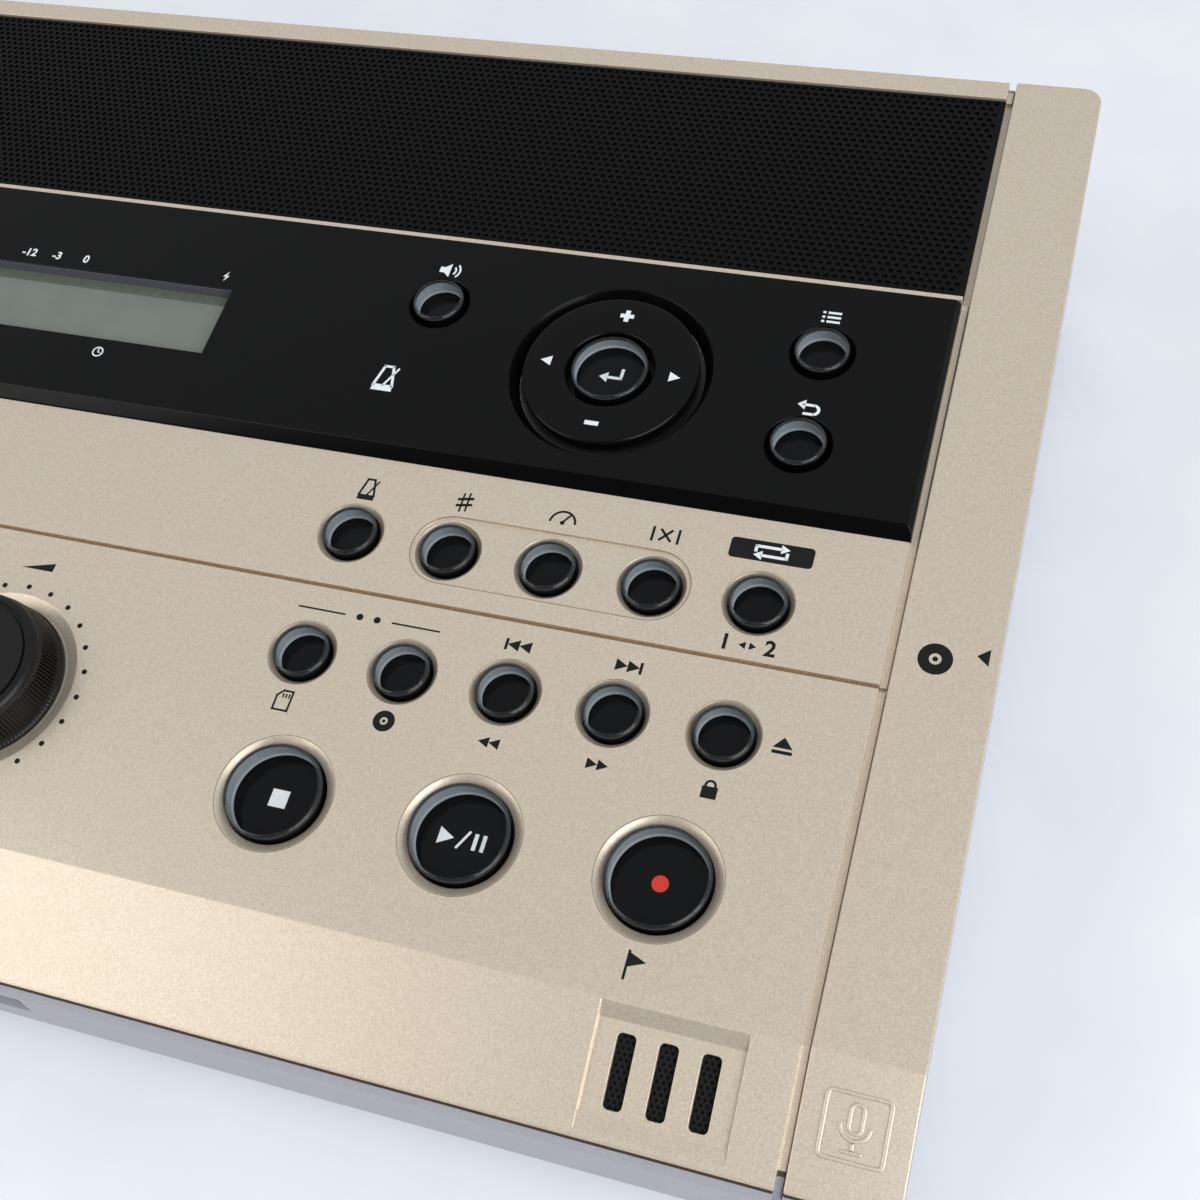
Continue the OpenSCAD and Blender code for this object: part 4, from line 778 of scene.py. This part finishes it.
def number(name, words, size, matrix, material, body="case"):
    """Plain digits as thin solids, centred on the matrix's origin."""
    curve = bpy.data.curves.new(name, "FONT")
    curve.body = words
    curve.size = size
    curve.align_x = "CENTER"
    curve.align_y = "CENTER"
    curve.extrude = INK
    curve.offset = DIGIT_WEIGHT * size
    curve.resolution_u = 4
    digits = bpy.data.objects.new(name + "_curve", curve)
    bpy.context.scene.collection.objects.link(digits)
    shaped = digits.evaluated_get(bpy.context.evaluated_depsgraph_get())
    mesh = bpy.data.meshes.new_from_object(shaped)
    bpy.data.objects.remove(digits)
    mesh.name = name
    mesh.transform(matrix)
    mesh.materials.clear()
    mesh.materials.append(material)
    piece = bpy.data.objects.new(name, mesh)
    bpy.context.scene.collection.objects.link(piece)
    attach(piece, body)
    return piece


# CAD nodes that are shown as they are

NODE_LOOKS = {
    GOLD: ["upper_cover"],
    GOLD_ON_GREY: ["front_cover", "right_end_cap", "left_end_cap"],
    CASE_GREY: ["bottom_case", "rear_panel"],
    GLOSS_BLACK: ["display_panel"],
    CRYSTAL: ["display_glass"],
    STEEL: ["display_module", "drive_chassis", "drive_cover", "drive_motors", "data_socket", "card_socket",
            "mic_capsules", "control_pots"],
    PLASTIC_BLACK: ["left_speaker", "right_speaker", "phones_jack", "mic_jacks", "supply_jack",
                    "power_switch", "pad_cradle", "pad_rocker", "turntable", "pickup_sled", "power_button"],
    BOARD: ["control_board", "main_board"],
    PALE_PLASTIC: ["tact_switches"],
    RUBBER: ["rubber_feet", "loading_roller"],
    DARK_STEEL: ["case_screws"],
    BRIGHT_STEEL: ["guide_rods", "lead_screw"],
    FELT: ["slot_lips"],
    PLATED: ["line_jacks"],
}
BEVELS = {
    "upper_cover": 0.15, "front_cover": 0.12, "right_end_cap": 0.3, "left_end_cap": 0.3,
    "display_panel": 0.2, "bottom_case": 0.12, "rear_panel": 0.3, "power_button": 0.4,
}


def dress_nodes():
    for material, nodes in NODE_LOOKS.items():
        for name in nodes:
            node = frame["nodes"][name]
            node.data.materials.clear()
            node.data.materials.append(material)
    for name, width in BEVELS.items():
        node = frame["nodes"][name]
        weld = node.modifiers.new("weld", "WELD")
        weld.merge_threshold = 0.00001
        flats = node.modifiers.new("flats", "DECIMATE")
        flats.decimate_type = "DISSOLVE"
        flats.angle_limit = math.radians(0.5)
        bevel = node.modifiers.new("edge", "BEVEL")
        bevel.width = width * MM
        bevel.segments = 2
        bevel.limit_method = "ANGLE"
        bevel.angle_limit = math.radians(12)
        bevel.use_clamp_overlap = False
        normals = node.modifiers.new("normals", "WEIGHTED_NORMAL")
        normals.weight = 100


# Pieces

def speaker_grille():
    width = 2 * COVER_X
    height = GRILLE_V[1] - GRILLE_V[0] - GRILLE_FIT
    middle = (GRILLE_V[0] + GRILLE_V[1]) / 2
    verts, faces = perforated(width, height, GRILLE_PITCH, GRILLE_HOLE_R)
    spot = on_panel(0, middle, GRILLE_FACE)
    grille = make("perforated_grille", verts, faces, spot, GRILLE_BLACK, "case", ["speaker_grille"])
    thicken(grille, SHEET_T)
    cloth = [rectangle(-width / 2, -height / 2, width / 2, height / 2)]
    verts, faces = slab(cloth, GRILLE_BACK + CLOTH[0], GRILLE_BACK + CLOTH[1])
    make("grille_cloth", verts, faces, on_panel(0, middle), CLOTH_BLACK, "case")


def cup_profile(radius, floor, low, top):
    """Black cup round a core's face, from its outside foot to the axis."""
    outer = radius - CORE_GAP
    inner = radius - CUP_WALL
    return [(outer, low), (outer, top - CUP_EDGE), (inner, top - CUP_EDGE), (inner, floor), (0, floor)]


def clear_cap(name, matrix, radius, floor, top, body):
    """Grey liner of the cup, the clear cap that fills it and the cap's round rim. The liner's grey is
    painted light for the light that the cap's clear side wall lets in, and the chamfer at its foot is a
    painted highlight along the core's edge.
    """
    outer = radius - LINER[0]
    inner = radius - LINER[1]
    foot = [(inner - LINER_HIGHLIGHT_FOOT, floor + LINER_LIFT), (outer, floor + LINER_LIFT)]
    wall = [(outer, top - CUP_EDGE), (inner, top - CUP_EDGE), (inner, floor + LINER_HIGHLIGHT_FOOT)]
    verts, faces = lathe(foot + wall)
    make(name + "_liner", verts, faces, matrix, LINER_PAINTED_LIGHT, body, smooth=40)
    cap_r = radius - CAP_EDGE
    verts, faces = lathe([(0, floor + CAP_LIFT), (cap_r, floor + CAP_LIFT), (cap_r, top), (0, top)])
    make(name + "_cap", verts, faces, matrix, CLEAR_BODY, body, smooth=40)
    root = cap_r + RIM_LAP
    rim = arc((cap_r, top - CAP_EDGE), CAP_EDGE, 0, 90, 8)
    verts, faces = lathe([(root, top - CAP_EDGE), (radius, top - CAP_EDGE)] + rim[1:-1] + [(root, top)])
    make(name + "_rim", verts, faces, matrix, CLEAR_RIM, body, smooth=50)


def clear_button(name, x, v, radius, top, outlines=(), ink=INK_WHITE):
    """Black core with a printed face, seen through a clear cap."""
    floor = top - (KEY_SINK if radius == KEY_R else BIG_SINK)
    bottom = floor - CORE_FLOOR
    matrix = on_panel(x, v)
    profile = [(0, STEM_LOW), (STEM_R, STEM_LOW)]
    if bottom < FLANGE_LOW:
        profile += [(STEM_R, bottom), (radius - CORE_GAP, bottom), (radius - CORE_GAP, FLANGE_LOW)]
    else:
        profile.append((STEM_R, FLANGE_LOW))
    profile += [(radius + FLANGE_REACH, FLANGE_LOW), (radius + FLANGE_REACH, FLANGE_TOP)]
    verts, faces = lathe(profile + cup_profile(radius, floor, FLANGE_TOP, top))
    make(name + "_core", verts, faces, matrix, CORE_BLACK, name, [name], smooth=40)
    clear_cap(name, matrix, radius, floor, top, name)
    if outlines:
        sign(name + "_sign", outlines, on_panel(x, v, floor), ink, name)


def buttons():
    recess = KEY_RISE - RECESS_D
    small = {
        "metronome_button": (KEY_X[0], ROW1_V, KEY_RISE), "key_button": (KEY_X[1], ROW1_V, recess),
        "speed_button": (KEY_X[2], ROW1_V, recess), "cancel_button": (KEY_X[3], ROW1_V, recess),
        "repeat_button": (KEY_X[4], ROW1_V, KEY_RISE), "card_button": (KEY_X[0], ROW2_V, KEY_RISE),
        "disc_button": (KEY_X[1], ROW2_V, KEY_RISE), "rewind_button": (KEY_X[2], ROW2_V, KEY_RISE),
        "forward_button": (KEY_X[3], ROW2_V, KEY_RISE), "eject_button": (KEY_X[4], ROW2_V, KEY_RISE),
        "input_button": (-KEY_X[4], ROW1_V, KEY_RISE),
        "speaker_button": (KEY_X[0], DISPLAY_ROW_V[0], DISPLAY_TOP + KEY_RISE),
        "menu_button": (KEY_X[4], DISPLAY_ROW_V[0], DISPLAY_TOP + KEY_RISE),
        "exit_button": (KEY_X[4], DISPLAY_ROW_V[1], DISPLAY_TOP + KEY_RISE),
    }
    for name, (x, v, top) in small.items():
        clear_button(name, x, v, KEY_R, top)
    clear_button("stop_button", BIG_X[0], ROW3_V, BIG_R, KEY_RISE, [rectangle(-1.7, -1.7, 1.7, 1.7)])
    clear_button("play_button", BIG_X[1], ROW3_V, BIG_R, KEY_RISE, play_pause(5.2))
    clear_button("record_button", BIG_X[2], ROW3_V, BIG_R, KEY_RISE, [disc(0, 0, 1.5)], INK_RED)


def tube_profile(inner, outer, low, high):
    return [(inner, low), (outer, low), (outer, high), (inner, high)]


def cursor_pad():
    pad = on_panel(PAD_X, PAD_V)
    pad_low = PAD_TOP - PAD_T
    outer_round = arc((PAD_R - PAD_ROUND, PAD_TOP - PAD_ROUND), PAD_ROUND, 0, 90, 6)
    inner_round = arc((PAD_BORE_R + BORE_ROUND, PAD_TOP - BORE_ROUND), BORE_ROUND, 90, 180, 6)
    profile = [(PAD_BORE_R, pad_low), (PAD_R, pad_low)] + outer_round + inner_round
    verts, faces = lathe(profile, 96)
    make("pad_disc", verts, faces, pad, GLOSS_BLACK, "cursor_pad", ["cursor_pad"], smooth=40)
    verts, faces = lathe(tube_profile(*COLLAR_R, COLLAR_LOW, pad_low + COLLAR_LAP), 64)
    make("pad_collar", verts, faces, pad, PLASTIC_BLACK, "cursor_pad", smooth=40)
    marks = {
        "pad_plus": (plus_sign(2.9), 0, PAD_MARK_R),
        "pad_minus": ([rectangle(-1.45, -0.5, 1.45, 0.5)], 0, -PAD_MARK_R),
        "pad_left": ([triangle(0, 0, 2.3, 2.4, -1)], -PAD_MARK_R, 0),
        "pad_right": ([triangle(0, 0, 2.3, 2.4, 1)], PAD_MARK_R, 0),
    }
    for name, (outlines, x, y) in marks.items():
        sign(name, outlines, on_panel(PAD_X + x, PAD_V - y, PAD_TOP), INK_WHITE, "cursor_pad")
    floor = ENTER_TOP - ENTER_SINK
    stem = [(0, STEM_LOW), (ENTER_STEM_R, STEM_LOW), (ENTER_STEM_R, ENTER_SKIRT)]
    verts, faces = lathe(stem + cup_profile(ENTER_R, floor, ENTER_SKIRT, ENTER_TOP))
    make("enter_core", verts, faces, pad, CORE_BLACK, "enter_button", ["enter_button"], smooth=40)
    clear_cap("enter", pad, ENTER_R, floor, ENTER_TOP, "enter_button")
    verts, faces = lathe(tube_profile(*PAD_FLOOR_R, *PAD_FLOOR_N), 96)
    make("pad_well_floor", verts, faces, pad, PLASTIC_BLACK, "case", smooth=40)
    sign("enter_sign", enter_arrow(5), on_panel(PAD_X, PAD_V, floor), INK_WHITE, "enter_button")


def knob(name, x, radius, ribs):
    """Finely ribbed knob with a smooth, slightly hollow top behind a ring groove."""
    shaft = [(0, SHAFT_LOW), (SHAFT_R, SHAFT_LOW), (SHAFT_R, KNOB_FOOT)]
    skirt = [(radius, KNOB_FOOT), (radius + SKIRT_OUT, KNOB_FOOT + SKIRT_H)]
    rib_r = radius - RIB_INSET
    shoulder_r = radius - KNOB_TAPER
    groove_r = shoulder_r - KNOB_ROUND
    shoulder_n = KNOB_TOP - KNOB_ROUND
    ribbed = []
    for step in range(KNOB_LEVELS + 1):
        share = step / KNOB_LEVELS
        height = KNOB_FOOT + RIB_FOOT + share * (shoulder_n - KNOB_FOOT - RIB_FOOT)
        ribbed.append((rib_r - share * (rib_r - shoulder_r), height))
    shoulder = arc((groove_r, shoulder_n), KNOB_ROUND, 12, 90, 7)
    top = [(groove_r - inset, KNOB_TOP - drop) for inset, drop in RING_GROOVE]
    top += [(groove_r / 2, KNOB_TOP - TOP_HOLLOW[0]), (0, KNOB_TOP - TOP_HOLLOW[1])]
    first = len(shaft + skirt)
    last = first + KNOB_LEVELS

    def wave(index, step):
        if not first <= index <= last:
            return 0
        fade = min(1, (index - first + 0.5) / 2, (last - index + 0.5) / 2)
        return (RIB_DEPTH if step % RIB_STEPS < RIB_STEPS / 2 else -RIB_DEPTH) * fade

    verts, faces = lathe(shaft + skirt + ribbed + shoulder + top, ribs * RIB_STEPS, wave)
    make(name + "_ribbed", verts, faces, on_panel(x, KNOB_V), KNOB_BLACK, name, [name], smooth=50)


def scale_dots():
    """Dots round the volume knob's dish."""
    outlines = []
    for step in range(-SCALE_SIDE, SCALE_SIDE + 1):
        angle = math.radians(SCALE_MID + step * SCALE_STEP)
        outlines.append(disc(SCALE_R * math.cos(angle), SCALE_R * math.sin(angle), SCALE_DOT_R, 16))
    sign("volume_scale", outlines, on_panel(VOLUME_X, KNOB_V), INK_BLACK)


def mode_rule():
    """Line with a gap, and two dots in the gap."""
    bars = stroke([(-14.5, 0), (-5, 0)], 0.35) + stroke([(5, 0), (14.5, 0)], 0.35)
    return bars + [disc(-1.8, 0, 0.7, 16), disc(1.8, 0, 0.7, 16)]


def panel_signs():
    """Print on the gold covers and the black display strip."""
    above_1 = ROW1_V - 11
    below_1 = ROW1_V + 9
    above_2 = ROW2_V - 9.6
    below_2 = ROW2_V + 10.3
    above_display = DISPLAY_ROW_V[0] - 9
    gold = {
        "metronome_mark": (metronome(5), KEY_X[0], above_1 + 0.6),
        "key_mark": (sharp_sign(4.2), KEY_X[1], above_1),
        "speed_mark": (gauge(4.6), KEY_X[2], above_1),
        "cancel_mark": (voice_cancel(4.6), KEY_X[3], above_1),
        "card_mark": (card_sign(4.4), KEY_X[0], below_2),
        "disc_mark": (disc_sign(4.2), KEY_X[1], below_2),
        "skip_back_mark": (skip_sign(4.6, -1), KEY_X[2], above_2),
        "skip_on_mark": (skip_sign(4.6, 1), KEY_X[3], above_2),
        "rewind_mark": (wind_sign(4.2, -1), KEY_X[2], below_2),
        "forward_mark": (wind_sign(4.2, 1), KEY_X[3], below_2),
        "eject_mark": (eject_sign(4), KEY_X[4] + 10.6, ROW2_V),
        "close_mark": (lock_sign(4.4), KEY_X[4], below_2),
        "marker_mark": (flag_sign(4.6), BIG_X[2], ROW3_V + 15.5),
        "volume_mark": (volume_sign(5), VOLUME_X, KNOB_V - 26),
        "mode_rule": (mode_rule(), (KEY_X[0] + KEY_X[1]) / 2, ROW2_V - 9.4),
        "repeat_plate": ([rounded(8, 2.2, 0.8)], KEY_X[4], above_1),
        "span_mark": ([triangle(-1, 0, 1.3, 1.5, -1), triangle(1, 0, 1.3, 1.5, 1)], KEY_X[4], below_1),
    }
    for name, (outlines, x, v) in gold.items():
        sign(name, outlines, on_panel(x, v), INK_BLACK)
    sign("repeat_mark", repeat_arrows(6), on_panel(KEY_X[4], above_1, INK), INK_WHITE, "case", INK)
    number("span_start", "1", 4.4, on_panel(KEY_X[4] - 4.2, below_1), INK_BLACK)
    number("span_end", "2", 4.4, on_panel(KEY_X[4] + 4.2, below_1), INK_BLACK)
    white = {
        "speaker_mark": (loudspeaker(4.6), KEY_X[0], above_display),
        "tempo_mark": (metronome(6.4), 41.6, 101.5),
        "menu_mark": (list_lines(3.8), KEY_X[4], above_display),
        "exit_mark": (return_arrow(4.6), KEY_X[4], DISPLAY_ROW_V[1] - 8.8),
        "clock_mark": (clock_sign(2.6), -25, WINDOW_V[1] + 3.6),
        "supply_mark": (bolt_sign(2.8), -4, WINDOW_V[0] - 3.4),
    }
    for name, (outlines, x, v) in white.items():
        sign(name, outlines, on_panel(x, v, DISPLAY_TOP), INK_WHITE)
    levels = (("level_low", "-12", -54.2), ("level_mid", "-3", -47), ("level_top", "0", -39.4))
    for name, words, x in levels:
        number(name, words, 2.9, on_panel(x, WINDOW_V[0] - 3, DISPLAY_TOP), INK_WHITE)


def end_cap_signs():
    sign("slot_disc_mark", disc_sign(6.2), on_panel(*DISC_MARK), INK_BLACK)
    sign("slot_arrow_mark", [triangle(0, 0, 2.2, 3.4, -1)], on_panel(*ARROW_MARK), INK_BLACK)
    square = [(rounded(*SQUARE_OUTER), rounded(*SQUARE_INNER))]
    for name, x in (("right_microphone", SQUARE_X), ("left_microphone", -SQUARE_X)):
        spot = NOSE @ Matrix.Translation((x, -SQUARE_S, 0))
        for part, outlines in (("_frame", square), ("_sign", microphone_sign(8.4))):
            ridge = sign(name + part, outlines, spot, GOLD, "case", RIDGE_H)
            soft = ridge.modifiers.new("soft", "BEVEL")
            soft.width = RIDGE_ROUND * MM
            soft.segments = 2


def display_trim():
    """Gold lip behind the display strip, the grey wall of the display's well, and a green strip of painted
    shadow along the well's edge on the liquid crystal.
    """
    verts, faces = slab([rectangle(-COVER_X, -LIP_HALF_W, COVER_X, LIP_HALF_W)], -LIP_SINK, DISPLAY_TOP)
    make("display_lip", verts, faces, on_panel(0, LIP_V), GOLD, "case")
    half = (WINDOW_X[1] - WINDOW_X[0]) / 2
    spot = on_panel((WINDOW_X[0] + WINDOW_X[1]) / 2, WINDOW_V[0])
    low = GLASS_N + FILM[0]
    high = GLASS_N + FILM[1]
    wall = [rectangle(-half, -WELL_WALL[0], half, -WELL_WALL[1])]
    verts, faces = slab(wall, high, DISPLAY_TOP - WELL_EDGE)
    make("window_wall", verts, faces, spot, WELL_GREY, "case")
    shade = [rectangle(-half, -WELL_SHADE[0], half, -WELL_SHADE[1])]
    verts, faces = slab(shade, low, high)
    make("window_shade", verts, faces, spot, WELL_PAINTED_SHADOW, "case")


def edge_lines():
    """Thin brown lines where the dishes and the long recess leave the panel: partly a fine gap line, partly
    painted shade at the edge.
    """
    small = [(x, v) for x in KEY_X for v in (ROW1_V, ROW2_V)] + [(-KEY_X[4], ROW1_V)]
    dishes = [(x, v, KEY_DISH_R) for x, v in small if not (v == ROW1_V and x in KEY_X[1:4])]
    dishes += [(x, ROW3_V, BIG_DISH_R) for x in BIG_X]
    outlines = []
    for x, v, radius in dishes:
        outlines += band(x, -v, radius, radius + EDGE_LINE, 0, 360, 48)
    outlines += band(KEY_X[1], -ROW1_V, RECESS_R, RECESS_R + EDGE_LINE, 90, 270)
    outlines += band(KEY_X[3], -ROW1_V, RECESS_R, RECESS_R + EDGE_LINE, -90, 90)
    for side in (-1, 1):
        middle = -ROW1_V + side * (RECESS_R + EDGE_LINE / 2)
        outlines += stroke([(KEY_X[1], middle), (KEY_X[3], middle)], EDGE_LINE)
    sign("edge_lines", outlines, on_panel(0, 0), EDGE_GAP_AND_SHADE, "case", 0.01)


def seam_fill():
    """Brown fill in the seam between the two covers: painted shade in the groove."""
    verts, faces = slab([rectangle(-COVER_X, -SEAM_W / 2, COVER_X, SEAM_W / 2)], *SEAM_FILL)
    make("step_seam", verts, faces, on_panel(0, SEAM_V), SEAM_PAINTED_SHADE, "case")


def microphone_foam():
    backing = [rectangle(-FOAM_W / 2, -FOAM_L / 2, FOAM_W / 2, FOAM_L / 2)]
    for name, side in (("right_foam", 1), ("left_foam", -1)):
        spot = NOSE @ Matrix.Translation((side * MIC_X, -MIC_SLOT_S, -WALL))
        verts, faces = perforated(FOAM_W, FOAM_L, FOAM_PITCH, FOAM_HOLE_R)
        foam = make(name, verts, faces, spot, CLOTH_BLACK, "case", ["mic_meshes"])
        thicken(foam, SHEET_T)
        verts, faces = slab(backing, *FOAM_BACK)
        make(name + "_backing", verts, faces, spot, CLOTH_BLACK, "case")


dress_nodes()
speaker_grille()
buttons()
cursor_pad()
knob("volume_knob", VOLUME_X, VOLUME_R, VOLUME_RIBS)
knob("level_knob", LEVEL_X, LEVEL_R, LEVEL_RIBS)
scale_dots()
panel_signs()
end_cap_signs()
display_trim()
edge_lines()
seam_fill()
microphone_foam()


# Stage, light and camera

def floor():
    shader = Shader("floor_white", Roughness=0.75)
    shader.tint(shader.noise(40), srgb(237, 240, 248), srgb(243, 246, 252))
    half = 3
    corners = [(x, y, 0) for x, y in rectangle(-half, -half, half, half)]
    mesh = bpy.data.meshes.new("floor")
    mesh.from_pydata(corners, [], [(0, 1, 2, 3)])
    mesh.materials.append(shader.material)
    ground = bpy.data.objects.new("floor", mesh)
    bpy.context.scene.collection.objects.link(ground)


def lamp(name, place, target, size, power, colour):
    light = bpy.data.lights.new(name, "AREA")
    light.shape = "SQUARE"
    light.size = size
    light.energy = power
    light.color = colour
    holder = bpy.data.objects.new(name, light)
    holder.location = place
    holder.rotation_euler = (Vector(target) - Vector(place)).to_track_quat("-Z", "Y").to_euler()
    bpy.context.scene.collection.objects.link(holder)


def world():
    """Soft sky that falls off towards the front left."""
    sky = bpy.data.worlds.new("studio")
    sky.use_nodes = True
    nodes = sky.node_tree.nodes
    links = sky.node_tree.links
    place = nodes.new("ShaderNodeTexCoord")
    turn = nodes.new("ShaderNodeMapping")
    turn.inputs["Rotation"].default_value = (0, 0, math.radians(30))
    split = nodes.new("ShaderNodeSeparateXYZ")
    level = nodes.new("ShaderNodeMapRange")
    level.inputs["From Min"].default_value = -0.76
    level.inputs["From Max"].default_value = 0
    level.inputs["To Min"].default_value = 0.03
    level.inputs["To Max"].default_value = 0.58
    background = nodes["Background"]
    background.inputs["Color"].default_value = (0.95, 0.975, 1.0, 1)
    links.new(place.outputs["Generated"], turn.inputs["Vector"])
    links.new(turn.outputs["Vector"], split.inputs["Vector"])
    links.new(split.outputs["Y"], level.inputs["Value"])
    links.new(level.outputs["Result"], background.inputs["Strength"])
    bpy.context.scene.world = sky


def camera():
    view = bpy.data.cameras.new("camera")
    view.sensor_width = 36
    view.lens = 46.736
    view.clip_start = 0.01
    holder = bpy.data.objects.new("camera", view)
    holder.location = (0.17404, -0.17768, 0.28403)
    holder.rotation_euler = [math.radians(angle) for angle in (35.335, 6.655, 16.585)]
    bpy.context.scene.collection.objects.link(holder)
    bpy.context.scene.camera = holder


floor()
lamp("window", (-1.1, -0.65, 1.15), target=(0, 0, 0), size=1.2, power=9.6, colour=(1.0, 0.985, 0.96))
lamp("fill", (1.2, -0.8, 1.2), target=(0.1, 0, 0), size=1.4, power=24, colour=(0.98, 0.99, 1.0))
world()
camera()
bpy.context.scene.view_settings.view_transform = "Standard"
